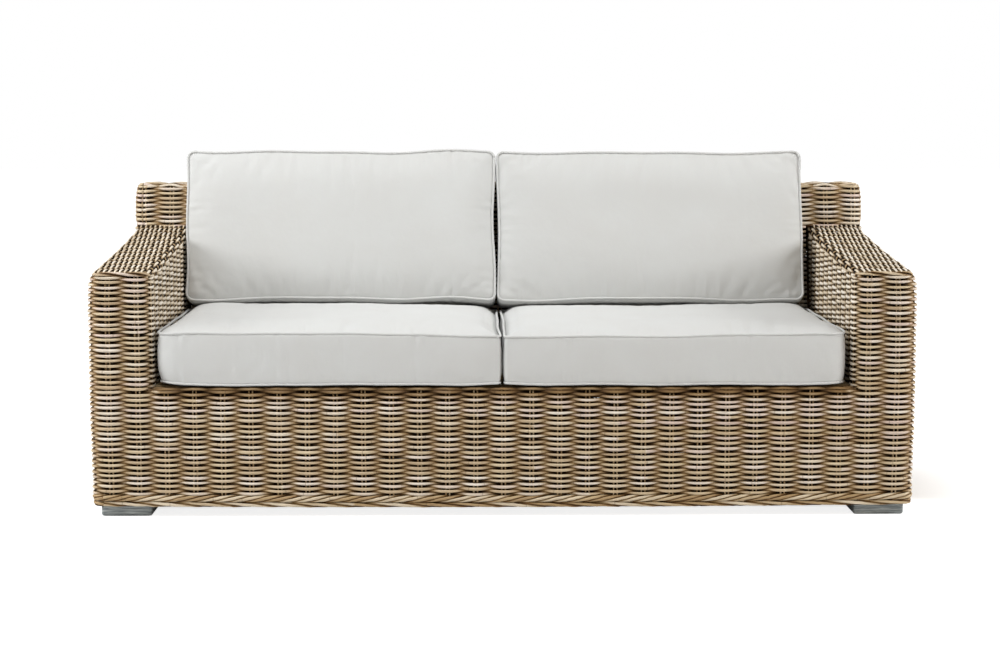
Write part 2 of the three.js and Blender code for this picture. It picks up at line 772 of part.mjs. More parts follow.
// Adds a cushion's cover, its foam and its zip, turned about X and set in place.
function addCushion(name, size, zipSign, turn, place) {
  const outside = cushionOutside(size);
  const shell = outside.subtract(cushionInside(size, coverThickness));
  const zipHalf = size.halfWidth - zipEndInset;
  const slot = (gap) => {
    const [x, z] = [zipHalf - gap, zipWidth / 2 - gap];
    const nearY = (size.halfDepth - cushionBulge - cushionPullIn - 2 * coverThickness - pipingRadius) * zipSign;
    const farY = (size.halfDepth + cutOverrun) * zipSign;
    const corner = [[-x, -z], [x, -z], [x, z], [-x, z]];
    return skinOverRings([nearY, farY].map((y) => corner.map(([cx, cz]) => new THREE.Vector3(cx, y, cz))));
  };
  const degrees = THREE.MathUtils.radToDeg(turn);
  const set = (solid) => solid.rotate([degrees, 0, 0]).translate(place);
  addPiece(`${name}_cover`, set(shell.subtract(slot(0))), canvas);
  addPiece(`${name}_foam`, set(cushionInside(size, coverThickness + fitGap)), foam);
  addPiece(`${name}_zip`, set(shell.intersect(slot(fitGap))), zipTape);
}

function addCushions() {
  const halfWidth = (innerX - cushionArmGap - cushionMiddleGap / 2) / 2;
  const middleX = cushionMiddleGap / 2 + halfWidth;
  const seatFront = frontY + seatCushionSetback;
  const seatBack = faceY(deckHeight) - seatCushionBackGap;
  const seat = {
    halfWidth,
    halfDepth: (seatBack - seatFront) / 2,
    half: seatCushionThickness / 2,
    crownTop: seatCushionCrown,
    crownBottom: seatCushionSag,
  };
  const seatY = (seatBack + seatFront) / 2;
  const seatZ = deckHeight + fitGap + seatCushionSag + seat.half;
  const back = {
    halfWidth,
    halfDepth: backCushionHeight / 2,
    half: backCushionThickness / 2,
    crownTop: backCushionCrown,
    crownBottom: backCushionRearCrown,
  };
  // The back cushion leans on the backrest and stands on the piping at the back of the seat.
  const [sin, cos] = [Math.sin(backRake), Math.cos(backRake)];
  const beadY = seatBack - pipingRadius;
  const beadZ = seatZ + seat.half;
  const upSlope = beadY * sin + beadZ * cos + pipingRadius + fitGap + back.halfDepth + cushionBulge - pipingRadius * boxingShare;
  const offFace = -faceY(0) * cos + fitGap + back.half + back.crownBottom;
  const backPlaceY = upSlope * sin - offFace * cos;
  const backPlaceZ = upSlope * cos + offFace * sin;
  for (const [side, sign] of sides) {
    addCushion(`seat_cushion_${side}`, seat, 1, 0, [sign * middleX, seatY, seatZ]);
    const turn = Math.PI / 2 - backRake;
    addCushion(`back_cushion_${side}`, back, -1, turn, [sign * middleX, backPlaceY, backPlaceZ]);
  }
}

addCornerPosts();
addBottomRails();
addBackTopRails();
addInnerPosts();
addSeatRails();
addBackStiles();
addArmRails();
addFeet();
addBorder();
addSlats();
addFrontPanel();
addSidePanels();
addBackPanel();
addBackrestPanel();
addBackTopPanel();
addInnerArmPanels();
addArmTops();
addCushions();

export default sofa;
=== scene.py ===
# %% [markdown]
# This scene dresses a rattan garden sofa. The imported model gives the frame: poles, slats, feet and
# the places of all the rest. What Blender adds is the surface that the eye sees, which is cane
# woven over stakes, a wound border, and four cushions in off-white canvas. All lengths below are
# in millimetres, as a maker would note them, and one factor turns them into metres.

# %% Load the frame
import math

import bpy
import numpy as np
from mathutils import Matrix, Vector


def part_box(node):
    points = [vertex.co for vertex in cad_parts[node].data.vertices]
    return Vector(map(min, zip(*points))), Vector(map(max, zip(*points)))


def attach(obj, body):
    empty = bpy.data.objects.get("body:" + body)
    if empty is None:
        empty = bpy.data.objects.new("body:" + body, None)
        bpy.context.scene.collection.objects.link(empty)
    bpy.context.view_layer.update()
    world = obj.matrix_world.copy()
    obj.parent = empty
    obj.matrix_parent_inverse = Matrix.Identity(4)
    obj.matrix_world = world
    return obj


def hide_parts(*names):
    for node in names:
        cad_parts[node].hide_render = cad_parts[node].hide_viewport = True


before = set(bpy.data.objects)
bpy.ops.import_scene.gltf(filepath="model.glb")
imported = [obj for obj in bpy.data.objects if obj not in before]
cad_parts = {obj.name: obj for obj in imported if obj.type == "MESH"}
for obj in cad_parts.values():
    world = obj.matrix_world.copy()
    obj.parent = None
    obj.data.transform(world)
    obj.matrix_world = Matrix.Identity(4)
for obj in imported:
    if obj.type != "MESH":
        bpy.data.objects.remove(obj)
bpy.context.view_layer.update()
MM = 0.001

# %% [markdown]
# The sizes of the woven body are read from the frame's own pieces where they can be, so that the
# weave lies where the solid panels lie. A panel is 18 mm thick, which is a stake with a weaver in
# front of it and one behind it, so the middle of the weave is 9 mm under the panel's face.

# %% Measure the woven body


def in_mm(node):
    """The lowest and highest corners of a node, in millimetres."""
    low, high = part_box(node)
    return np.array(low) / MM, np.array(high) / MM


HALF_THICK = 9.0
side_low, side_high = in_mm("woven_side_right")
arm_low, arm_high = in_mm("woven_arm_top_right")
border_low = in_mm("border_base")[0]
OUTER_X = side_high[0]
FRONT_Y, BACK_Y = side_low[1], side_high[1]
WALL_LOW = side_low[2]
INNER_X = arm_low[0]
BACK_HIGH = in_mm("woven_back_top")[1][2]
DECK_HIGH = in_mm("slat_1")[1][2]
ARM_FRONT_HIGH, ARM_BACK_HIGH = 635.0, arm_high[2]
CORNER = 33.3
RAKE = math.radians(12)
BACK_TOP_DEPTH = 109.0
STAKE_PITCH, SIDE_PITCH = 72.0, 69.6
ROW_PITCH = 6.7
print("woven body", 2 * OUTER_X, "x", BACK_Y - FRONT_Y, "x", BACK_HIGH, "mm")


def face_y(z):
    """Where the leaning front of the backrest is, at a height."""
    return BACK_Y - BACK_TOP_DEPTH - (BACK_HIGH - z) * math.tan(RAKE)


FACE_FOOT = face_y(ARM_BACK_HIGH)


def arm_top_z(y):
    """The height of the top of an arm: a slow rise with a sweep at its end."""
    share = np.clip((y - FRONT_Y) / (FACE_FOOT - FRONT_Y), 0, 1)
    return ARM_FRONT_HIGH + (ARM_BACK_HIGH - ARM_FRONT_HIGH) * (0.8 * share + 0.2 * share**3)


# %% [markdown]
# The camera comes early, because it is what the work is judged through. A pinhole camera was
# fitted to measured points of the sofa, which gives its place, its tilt and a lens of 76 mm: a
# long lens from over five metres, so the arms close in only a little towards the back.

# %% Set up the camera
CAMERA_PLACE = (-0.085, -5.819, 1.049)
CAMERA_PITCH, CAMERA_YAW = 6.11, 0.808
LENS = 75.98

camera_data = bpy.data.cameras.new("camera")
camera_data.lens = LENS
camera_data.sensor_width = 36.0
camera = bpy.data.objects.new("camera", camera_data)
camera.location = CAMERA_PLACE
camera.rotation_euler = (math.radians(90 - CAMERA_PITCH), 0, math.radians(-CAMERA_YAW))
bpy.context.collection.objects.link(camera)
bpy.context.scene.camera = camera
bpy.context.scene.view_settings.view_transform = "Standard"
print("camera at", CAMERA_PLACE)

# %% [markdown]
# Shaders are built from nodes. Short functions add them, so that a material further down reads as
# a list of what happens to its colour and its surface.

# %% Add shader nodes


def to_linear(hex_colour):
    """Turns an sRGB hex colour into the linear values that a shader takes."""
    parts = [int(hex_colour[i : i + 2], 16) / 255 for i in (1, 3, 5)]
    return [c / 12.92 if c <= 0.04045 else ((c + 0.055) / 1.055) ** 2.4 for c in parts] + [1.0]


def add_node(tree, kind, links=None, **settings):
    """Adds one node, sets its properties and sockets, and links sockets by name or number."""
    node = tree.nodes.new(kind)
    for name, value in settings.items():
        if hasattr(node, name):
            setattr(node, name, value)
        else:
            node.inputs[name.replace("_", " ")].default_value = value
    for socket, source in (links or {}).items():
        if isinstance(source, bpy.types.NodeSocket):
            tree.links.new(source, node.inputs[socket])
        else:
            node.inputs[socket].default_value = source
    return node


def combine(tree, operation, one, two=0.0):
    """The result of one sum on two numbers."""
    return add_node(tree, "ShaderNodeMath", {0: one, 1: two}, operation=operation).outputs[0]


def ranged(tree, value, start, stop, low, high):
    """A number from the range start to stop, brought into the range low to high."""
    ends = dict(From_Min=start, From_Max=stop, To_Min=low, To_Max=high)
    return add_node(tree, "ShaderNodeMapRange", {"Value": value}, **ends).outputs[0]


def scaled(tree, vector, factors):
    """A vector with each part multiplied by its own factor."""
    links = {0: vector, 1: factors}
    return add_node(tree, "ShaderNodeVectorMath", links, operation="MULTIPLY").outputs[0]


def noise(tree, vector, scale, detail, **more):
    """The grey value of a noise texture."""
    settings = dict(Scale=scale, Detail=detail, **more)
    return add_node(tree, "ShaderNodeTexNoise", {"Vector": vector}, **settings).outputs["Fac"]


def blend(tree, share, one, two, mode="MIX"):
    """Two colours mixed. A colour is a socket or a hex number."""
    one, two = (to_linear(c) if isinstance(c, str) else c for c in (one, two))
    links = {0: share, 6: one, 7: two}
    return add_node(tree, "ShaderNodeMix", links, data_type="RGBA", blend_type=mode).outputs[2]


def coloured(tree, value, stops):
    """A colour ramp, with its two ends as its first two stops."""
    node = add_node(tree, "ShaderNodeValToRGB", {"Fac": value})
    elements = node.color_ramp.elements
    for i, (place, colour) in enumerate(stops):
        stop = elements[i] if i < 2 else elements.new(place)
        stop.position = place
        stop.color = to_linear(colour)
    return node.outputs["Color"]


def bumped(tree, height, strength, distance, **under):
    """A bump as a normal, over another normal where one is given."""
    links = {"Height": height, **under}
    return add_node(tree, "ShaderNodeBump", links, Strength=strength, Distance=distance).outputs[0]


def object_place(tree):
    """The coordinates of the object itself."""
    return add_node(tree, "ShaderNodeTexCoord").outputs["Object"]


def to_camera(tree, plain, shown):
    """One shader for the camera, and a plain one for the light that the sofa gets."""
    path = add_node(tree, "ShaderNodeLightPath")
    links = {0: path.outputs["Is Camera Ray"], 1: plain.outputs[0], 2: shown.outputs[0]}
    return add_node(tree, "ShaderNodeMixShader", links)


def new_material(name):
    """An empty node material and its tree."""
    material = bpy.data.materials.new(name)
    material.use_nodes = True
    material.node_tree.nodes.clear()
    return material, material.node_tree


def skin(tree, links, **settings):
    """Ends a material in one principled shader."""
    shader = add_node(tree, "ShaderNodeBsdfPrincipled", links, **settings)
    add_node(tree, "ShaderNodeOutputMaterial", {"Surface": shader.outputs[0]})


# %% [markdown]
# A product like this is lit by large soft lamps. The world gives an even pale light, one wide lamp
# hangs above and in front, a little to the left, and a weak warm one fills from the right. Lamps at
# both sides graze the arms, so that the weave stands out. The floor is white to the camera and
# still takes the sofa's shadow.

# %% Light the studio


def add_lamp(name, place, aim, size, power, colour="#FFFFFF"):
    """A rectangular area lamp at a place, turned towards a point."""
    data = bpy.data.lights.new(name, "AREA")
    data.shape = "RECTANGLE"
    data.size, data.size_y = size
    data.energy = power
    data.color = to_linear(colour)[:3]
    lamp = bpy.data.objects.new(name, data)
    lamp.location = place
    towards = Vector(aim) - Vector(place)
    lamp.rotation_euler = towards.to_track_quat("-Z", "Y").to_euler()
    bpy.context.collection.objects.link(lamp)


world = bpy.data.worlds.new("studio")
bpy.context.scene.world = world
world.use_nodes = True
tree = world.node_tree
tree.nodes.clear()
soft_light = add_node(tree, "ShaderNodeBackground", Color=to_linear("#F6F6F4"), Strength=0.25)
white_light = add_node(tree, "ShaderNodeBackground", Color=to_linear("#FFFFFF"), Strength=1.0)
seen = to_camera(tree, soft_light, white_light)
add_node(tree, "ShaderNodeOutputWorld", {"Surface": seen.outputs[0]})

add_lamp("key", (-1.3, -1.7, 3.6), (0, 0, 0.4), (2.2, 1.4), 85)
add_lamp("fill", (2.4, -3.4, 2.0), (0, 0, 0.4), (2.4, 2.0), 11, "#FFDDB2")
add_lamp("top", (0.3, 0.6, 3.4), (0, 0, 0.5), (3.0, 1.6), 24)
add_lamp("left", (-3.6, -0.9, 1.7), (0.9, -0.1, 0.5), (1.6, 1.2), 74)
add_lamp("right", (3.6, -0.9, 1.7), (-0.9, -0.1, 0.5), (1.6, 1.2), 80)

# The floor is paper that glows a little, away from the sofa and in front of it.
floor_material, tree = new_material("white_studio_floor")
place = object_place(tree)
oval = scaled(tree, place, (0.62, 1.0, 1.0))
away = add_node(tree, "ShaderNodeVectorMath", {0: oval}, operation="LENGTH").outputs["Value"]
depth = add_node(tree, "ShaderNodeSeparateXYZ", {0: place}).outputs[1]
far, front = ranged(tree, away, 0.6, 1.15, 0.0, 1.0), ranged(tree, depth, -0.14, -0.34, 0.0, 0.84)
glow = combine(tree, "MAXIMUM", far, front)
paper = add_node(tree, "ShaderNodeBsdfDiffuse", Color=to_linear("#F2F2F2"))
bright = add_node(tree, "ShaderNodeEmission", {"Strength": glow}, Color=to_linear("#FFFFFF"))
lifted = add_node(tree, "ShaderNodeAddShader", {0: paper.outputs[0], 1: bright.outputs[0]})
add_node(tree, "ShaderNodeOutputMaterial", {"Surface": to_camera(tree, paper, lifted).outputs[0]})

bpy.ops.mesh.primitive_plane_add(size=60, location=(0, 0, 0))
floor = bpy.context.active_object
floor.name = "floor"
floor.data.materials.append(floor_material)
print("lamps and floor set")

# %% [markdown]
# Rattan weavers are round cane with the skin left on. New cane is straw coloured, and outdoors it
# greys unevenly, so no two canes match: some stay yellow, some go pinkish, most are a pale grey
# tan. The skin has a low sheen, fine lengthwise streaks and a darker ring at each node of the vine.
# Where the weave dips, and on each cane's flanks, the colour is darkened as painted shade with some
# grime, and the crest of each cane is left lightest as a painted highlight. Each cane carries its own
# random number and its own straight coordinates, so streaks run along it however it bends.

# %% Make the rattan
# Painted shade with some grime: each ramp runs from a cane's hidden, darkest parts to white at its
# crest.
SHADE_AND_GRIME = [(0.08, "#241505"), (0.68, "#FFFFFF"), (0.25, "#6E5839"), (0.43, "#BAA584")]
GREY_SHADE_AND_GRIME = [(0.2, "#0C0703"), (0.68, "#FFFFFF"), (0.34, "#58462F"), (0.48, "#BDAC91")]


def cane_material(name, dark, ramp, roughness, shades_and_grimes=SHADE_AND_GRIME):
    """Skin-on cane. The attributes cane, relief and cane_space come with each woven mesh."""
    material, tree = new_material(name)
    labels = ("cane", "relief", "cane_space")
    own, relief, space = (add_node(tree, "ShaderNodeAttribute", attribute_name=n) for n in labels)
    own, relief, space = own.outputs["Fac"], relief.outputs["Fac"], space.outputs["Vector"]
    # Blotches about 60 mm long and a few millimetres wide, from weathering.
    blotch = noise(tree, scaled(tree, space, (16, 120, 120)), 1.0, 3.0)
    share = ranged(tree, blotch, 0.3, 0.72, 0.0, 0.36)
    colour = blend(tree, share, coloured(tree, own, ramp), dark[0])
    # Streaks of fibre under a millimetre wide, drawn a little coarse so that they show.
    streak = noise(tree, scaled(tree, space, (60, 1100, 1100)), 1.0, 2.0)
    colour = blend(tree, ranged(tree, streak, 0.3, 0.7, 0.0, 0.24), colour, dark[1])
    # Nodes of the vine: a thin dark ring about every 230 mm along each cane.
    along = add_node(tree, "ShaderNodeSeparateXYZ", {0: space}).outputs[0]
    within = combine(tree, "FRACT", combine(tree, "MULTIPLY", along, 1 / 0.23))
    colour = blend(tree, ranged(tree, within, 0.0, 0.016, 0.55, 0.0), colour, dark[1])
    # Painted shade, with some grime: a cane darkens where it dips behind a stake and on its flanks,
    # from clean through brown to black.
    colour = blend(tree, 1.0, colour, coloured(tree, relief, shades_and_grimes), "MULTIPLY")
    links = {
        "Base Color": colour,
        "Roughness": ranged(tree, streak, 0.3, 0.7, roughness, roughness + 0.18),
        # Reflections are weaker where the weave dips: painted shade on the sheen.
        "Specular IOR Level": ranged(tree, relief, 0.1, 0.6, 0.05, 0.5),
        "Normal": bumped(tree, streak, 0.35, 0.0004),
    }
    skin(tree, links, IOR=1.5)
    return material


CANE_TINTS = [(0.0, "#C2AB8B"), (1.0, "#F9F2E5"), (0.2, "#DECEAE"), (0.4, "#D2BD9B")]
CANE_TINTS += [(0.6, "#EEE4D1"), (0.8, "#E2CFC4")]
CANE_DARKS = ("#8C6F4A", "#5E4227")
rattan = cane_material("weathered_rattan_cane", CANE_DARKS, CANE_TINTS, 0.36)
# The arms' tops and inner faces stand brighter in the light, so they get a paler copy of the cane as
# painted light, with deeper painted shade in its dips.
LIT_PALE_TINTS = [(0.0, "#DECFB6"), (1.0, "#FFF8EC"), (0.35, "#F4E8D3"), (0.7, "#FBF2E2")]
GREY_DARKS = ("#A08E76", "#6F5D48")
lit_pale_rattan = cane_material("lit_pale_rattan_cane", GREY_DARKS, LIT_PALE_TINTS, 0.4, GREY_SHADE_AND_GRIME)
BORDER_TINTS = [(0.0, "#A6885C"), (1.0, "#F6EAD4"), (0.35, "#CBB389"), (0.7, "#E4D6BB")]
border_rattan = cane_material("plaited_rattan_cane", CANE_DARKS, BORDER_TINTS, 0.4)
STAKE_TINTS = [(0.0, "#CDB590"), (1.0, "#F0E4CA"), (0.5, "#E0CDAA")]
stake_rattan = cane_material("rattan_stake", CANE_DARKS, STAKE_TINTS, 0.5)
print("rattan made")

# %% [markdown]
# A cane isn't a shape that a modelling operator leaves behind: it is a long thin tube that goes
# over and under stakes for metres. So mesh code lays each one as rings of points round a centre
# line, six for a weaver. The first point of each ring faces out of the weave.

# %% Lay canes as tubes
SIDES = 6
# Six sides leave flats above and below, so they are spread to the full height of a round cane.
SIX_SPREAD = 1.155
# How far the top of the sofa is drawn in at its rounded edges, and from how far below.
ROUND_WIDE, ROUND_HIGH = 21.0, 56.0
SKIRT_HANG, ARM_SWELL, BLOCK_SWELL = 5.0, 4.0, 5.0
dice = np.random.default_rng(7)


def unit(vectors):
    """Each row of an array, scaled to length one."""
    return vectors / np.maximum(np.linalg.norm(vectors, axis=-1, keepdims=True), 1e-9)


def lengths(line):
    """How far along a line of points each of them lies."""
    steps = np.linalg.norm(np.diff(line, axis=0), axis=1)
    return np.concatenate([[0], np.cumsum(steps)])


def along_line(t, line, s):
    """The points of a line at the distances t, where s has the distances of its own points."""
    return np.stack([np.interp(t, s, column) for column in line.T], axis=-1)


def settle(points):
    """Hand work isn't true: the skirt hangs a little lower in its middle, and the sides swell."""
    x, y, z = points[..., 0], points[..., 1], points[..., 2]
    wide = np.abs(x)
    low = np.clip((DECK_HIGH - z) / (DECK_HIGH - border_low[2]), 0, 1)
    hang = SKIRT_HANG * low * (1 - np.clip(x / OUTER_X, -1, 1) ** 2)
    rise = np.clip((z - 90) / 160, 0, 1) * np.clip((ARM_FRONT_HIGH - 8 - z) / 60, 0, 1)
    swell = ARM_SWELL * rise * np.clip((wide - 920) / 110, 0, 1)
    top = np.where(y < FACE_FOOT + 2, arm_top_z(y), BACK_HIGH)
    up = np.clip(1 - (top - z) / ROUND_HIGH, 0, 1)
    drawn = np.clip(wide - OUTER_X + ROUND_WIDE, 0, None) * (1 - np.sqrt(1 - up**2))
    swell += BLOCK_SWELL * np.clip((z - ARM_BACK_HIGH) / 20, 0, 1) * np.clip((wide - 960) / 80, 0, 1)
    return np.stack([x + np.sign(x) * (swell - drawn), y, z - hang], axis=-1)


class Canes:
    """Collects tubes, and makes them one mesh."""

    def __init__(self, sides=SIDES, hand_laid=True):
        self.sides, self.hand_laid, self.count = sides, hand_laid, 0
        self.points, self.quads, self.caps = [], [], []
        self.owns, self.reliefs, self.spaces = [], [], []

    def lay(self, centre, outward, radius, own, relief, along=None):
        """Adds one tube, in millimetres. own and relief are one number a ring or one in all."""
        n, k = len(centre), self.sides
        if self.hand_laid:
            centre = settle(centre)
        ahead = np.empty_like(centre)
        ahead[1:-1] = centre[2:] - centre[:-2]
        ahead[0], ahead[-1] = centre[1] - centre[0], centre[-1] - centre[-2]
        ahead = unit(ahead)
        out = unit(outward - ahead * np.sum(outward * ahead, axis=1, keepdims=True))
        side = np.cross(ahead, out)
        angle = 2 * math.pi * np.arange(k) / k
        cos, sin = np.cos(angle), np.sin(angle)
        r = np.broadcast_to(radius, (n,))[:, None]
        spread = SIX_SPREAD if k == SIDES else 1.0
        ring = out[:, None] * cos[:, None] + spread * side[:, None] * sin[:, None]
        self.points.append((centre[:, None] + r[..., None] * ring).reshape(-1, 3))
        here = self.count + np.arange(n - 1)[:, None] * k
        i, j = np.arange(k)[None], (np.arange(k)[None] + 1) % k
        square = np.stack([here + i, here + j, here + k + j, here + k + i], axis=-1)
        self.quads.append(square.reshape(-1, 4))
        first = self.count + np.arange(k)
        self.caps += [first[::-1], first + (n - 1) * k]
        if along is None:
            along = lengths(centre)
        start = dice.uniform(0, 900)
        space = np.empty((n, k, 3))
        space[..., 0] = (along + start)[:, None]
        space[..., 1] = r * cos + start
        space[..., 2] = r * sin
        self.spaces.append(space.reshape(-1, 3))
        self.owns.append(np.repeat(np.broadcast_to(own, (n,)), k))
        # Painted light by the ring's angle: painted shade on a cane's flanks, where it touches its
        # neighbours, and most of all behind it, and a painted highlight along its front.
        lit_share = np.interp(cos, [-1.0, -0.5, 0.5, 1.0], [0.1, 0.2, 0.6, 1.0])
        self.reliefs.append((np.broadcast_to(relief, (n,))[:, None] * lit_share).ravel())
        self.count += n * k

    def make(self, name, material, nodes=(), declare=True):
        """Makes the collected tubes one piece, which stands for the nodes it replaces."""
        quads, caps = np.concatenate(self.quads), np.array(self.caps)
        mesh = bpy.data.meshes.new(name)
        mesh.vertices.add(self.count)
        mesh.vertices.foreach_set("co", (np.concatenate(self.points) * MM).ravel())
        loops = np.concatenate([quads.ravel(), caps.ravel()])
        mesh.loops.add(len(loops))
        mesh.loops.foreach_set("vertex_index", loops)
        sizes = np.repeat([4, self.sides], [len(quads), len(caps)])
        mesh.polygons.add(len(sizes))
        mesh.polygons.foreach_set("loop_start", np.cumsum(sizes) - sizes)
        mesh.polygons.foreach_set("use_smooth", np.arange(len(sizes)) < len(quads))
        mesh.update(calc_edges=True)
        for label, kind, key, values in (
            ("cane", "FLOAT", "value", np.concatenate(self.owns)),
            ("relief", "FLOAT", "value", np.concatenate(self.reliefs)),
            ("cane_space", "FLOAT_VECTOR", "vector", np.concatenate(self.spaces) * MM),
        ):
            mesh.attributes.new(label, kind, "POINT").data.foreach_set(key, values.ravel())
        mesh.validate()
        mesh.materials.append(material)
        piece = bpy.data.objects.new(name, mesh)
        bpy.context.collection.objects.link(piece)
        if declare:
            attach(piece, "frame")
            if nodes:
                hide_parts(*nodes)
        print(name, "has", 2 * len(quads), "triangles in tubes")
        return piece


# %% [markdown]
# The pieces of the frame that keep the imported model's own shape get their finishes here: grey
# washed blocks for the feet, peeled poles, and plywood slats. Grain runs along each piece, so its
# noise is stretched that way: streaks of a millimetre or two across and some centimetres long.


# %% Finish the wood
def wood_material(name, stretch, tints, roughness, depth):
    """Wood with its grain along the axis where stretch is small. Units are 1/m."""
    material, tree = new_material(name)
    way = scaled(tree, object_place(tree), stretch)
    grain = noise(tree, way, 1.0, 5.0, Roughness=0.62, Distortion=0.6)
    links = {
        "Base Color": coloured(tree, grain, tints),
        "Roughness": ranged(tree, grain, 0.0, 1.0, roughness - 0.08, roughness + 0.12),
        "Normal": bumped(tree, grain, 0.5, depth),
    }
    skin(tree, links, IOR=1.5)
    return material


GREY_WASH = [(0.34, "#575E60"), (0.7, "#D2D8D6"), (0.46, "#838A8B"), (0.56, "#A3AAAA")]
grey_wood = wood_material("grey_washed_wood", (14, 90, 330), GREY_WASH, 0.6, 0.0006)
PEELED = [(0.3, "#7A5F3E"), (0.75, "#9A7E57")]
peeled_pole = wood_material("peeled_rattan_pole", (60, 60, 60), PEELED, 0.5, 0.0003)
PLY = [(0.35, "#B79B70"), (0.7, "#D3BC93")]
plywood = wood_material("birch_plywood", (6, 140, 260), PLY, 0.6, 0.0003)

finishes = {"foot": grey_wood, "slat": plywood}
finishes.update(dict.fromkeys(("post", "rail", "stile"), peeled_pole))
finished = 0
for name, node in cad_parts.items():
    material = finishes.get(name.split("_")[0])
    if material:
        node.material_slots[0].link = "OBJECT"
        node.material_slots[0].material = material
        finished += 1
print("finished", finished, "frame pieces")

# %% [markdown]
# The cushions are boxed: a top and a bottom panel, a band between them, and piping in both seams.
# Each starts as a beveled block, a little smaller than the stuffed cushion, remeshed evenly.

# %% Start a cushion as a block
VOXEL = 11.0
PIPING = 3.3
SEAM_INSET = 4.6
SEAM_REACH = 5.6
SIDE_PULL = 4.0
CLOTH_SLACK, CLOTH_STEPS = 0.012, 20


def past_corner(points, half, radius):
    """How far points are past the start of a rounded corner, along and across."""
    return [np.abs(points[:, i]) - half[i] + radius for i in (0, 1)]


def own_radius(points, corners):
    """The corner radius on each point's side, left or right."""
    return np.where(points[:, 0] > 0, corners[1], corners[0])


def edge_distance(points, half, corners):
    """How far inside a round-cornered rectangle points are. Outside it is negative."""
    r = own_radius(points, corners)
    qx, qy = past_corner(points, half, r)
    return r - np.hypot(np.maximum(qx, 0), np.maximum(qy, 0)) - np.minimum(np.maximum(qx, qy), 0)


def push_out(points, half, radius, reach):
    """Moves points away from the middle of a corner of some radius, or square to a side."""
    past = [np.maximum(q, 0) for q in past_corner(points, half, radius)]
    away = unit(np.column_stack([np.sign(points[:, i]) * past[i] for i in (0, 1)]))
    moved = points.copy()
    moved[:, :2] += away * reach[:, None]
    return moved


def read_points(mesh):
    """A mesh's points in millimetres."""
    points = np.empty(len(mesh.vertices) * 3)
    mesh.vertices.foreach_get("co", points)
    return points.reshape(-1, 3) / MM


def write_points(mesh, points):
    """Sets a mesh's points, given in millimetres."""
    mesh.vertices.foreach_set("co", (points * MM).ravel())
    mesh.update()


def apply_all(piece):
    """Applies every modifier of a piece."""
    bpy.ops.object.select_all(action="DESELECT")
    piece.select_set(True)
    bpy.context.view_layer.objects.active = piece
    for modifier in list(piece.modifiers):
        bpy.ops.object.modifier_apply(modifier=modifier.name)


def join(piece, *others):
    """Joins other pieces to one, which keeps its name."""
    bpy.ops.object.select_all(action="DESELECT")
    for part in (*others, piece):
        part.select_set(True)
    bpy.context.view_layer.objects.active = piece
    bpy.ops.object.join()


def even_block(name, half, corners):
    """A block with rounded upright corners, remeshed into even squares."""
    bpy.ops.mesh.primitive_cube_add(size=2)
    block = bpy.context.active_object
    block.name = name
    block.scale = [h * MM for h in half]
    bpy.ops.object.transform_apply(scale=True)
    for way, corner in zip((-1, 1), corners):
        bpy.ops.object.mode_set(mode="EDIT")
        bpy.ops.mesh.select_mode(type="EDGE")
        bpy.ops.mesh.select_all(action="DESELECT")
        bpy.ops.object.mode_set(mode="OBJECT")
        for edge in block.data.edges:
            one, two = (block.data.vertices[v].co for v in edge.vertices)
            edge.select = bool(abs(one.z - two.z) > 1e-6 and one.x * way > 0.99 * half[0] * MM)
        bpy.ops.object.mode_set(mode="EDIT")
        bpy.ops.mesh.bevel(offset=corner * MM, segments=6, affect="EDGES")
        bpy.ops.object.mode_set(mode="OBJECT")
    remesh = block.modifiers.new("even", "REMESH")
    remesh.mode = "VOXEL"
    remesh.voxel_size = VOXEL * MM
    apply_all(block)
    return block


# %% [markdown]
# Use shapes a cushion. Its sides draw in between the corners, its corners flatten, its top settles,
# and a standing one sags over its lower seam. Each function here moves points by one such habit.

# %% Shape a cushion by use


def pull_sides(points, half, pull):
    """Draws the sides of a cushion in between its corners."""
    x, y = points[:, 0] / half[0], points[:, 1] / half[1]
    moved = points.copy()
    moved[:, 1] -= np.sign(y) * pull * (1 - np.clip(x, -1, 1) ** 2) * y**2
    moved[:, 0] -= np.sign(x) * pull * (1 - np.clip(y, -1, 1) ** 2) * x**2
    return moved


def firm_corners(points, half, corners):
    """Boxing is cut to turn a corner, so it stands upright there where cloth alone would draw in."""
    inside = edge_distance(points, half, corners)
    qx, qy = (np.maximum(q, 0) for q in past_corner(points, half, 45))
    near = np.exp(-(((90 - qx - qy) / 60) ** 2))
    band = np.clip((half[2] - np.abs(points[:, 2])) / 5, 0, 1)
    return push_out(points, half, 45, np.clip(inside + 1.5, 0, 30) * near * band)


def ease_corners(points, half, corners, lifts):
    """Corners hold little stuffing, so the seams draw together there and a little inwards."""
    away = np.hypot(half[0] - np.abs(points[:, 0]), half[1] - np.abs(points[:, 1]))
    right, upper = points[:, 0] > 0, points[:, 2] > 0
    lift = np.choose(right + 2 * upper, lifts) * np.exp(-((away / 60) ** 2))
    moved = points.copy()
    moved[:, 2] -= lift * points[:, 2] / half[2]
    pull = np.where(upper, 0.015, 0.04) * np.where(right, corners[1], corners[0])
    draw = pull * lift * (points[:, 2] / half[2]) ** 2
    moved[:, :2] -= np.sign(points[:, :2]) * draw[:, None]
    return moved


def roll_under(points, half, size):
    """A standing cushion sags over its front lower seam, so its band shows below the piping."""
    moved = points.copy()
    forward = np.clip((points[:, 2] - half[2] + 18) / 18, 0, 1) ** 2
    moved[:, 1] += size * forward * np.exp(-(((points[:, 1] + half[1]) / 45) ** 2))
    return moved


def sink_top(points, half, sink):
    """A seat cushion has settled more in one place than in another."""
    share = np.clip((points[:, 2] + half[2]) / (2 * half[2]), 0, 1)
    moved = points.copy()
    moved[:, 2] -= share * np.interp(points[:, 0] / half[0], [-1, 0, 1], sink)
    return moved


# %% [markdown]
# The block is crowned, and then blown up as cloth with its seams held, which rounds the panels
# between the seams the way foam and wadding do. A cap keeps every point close to where it started.

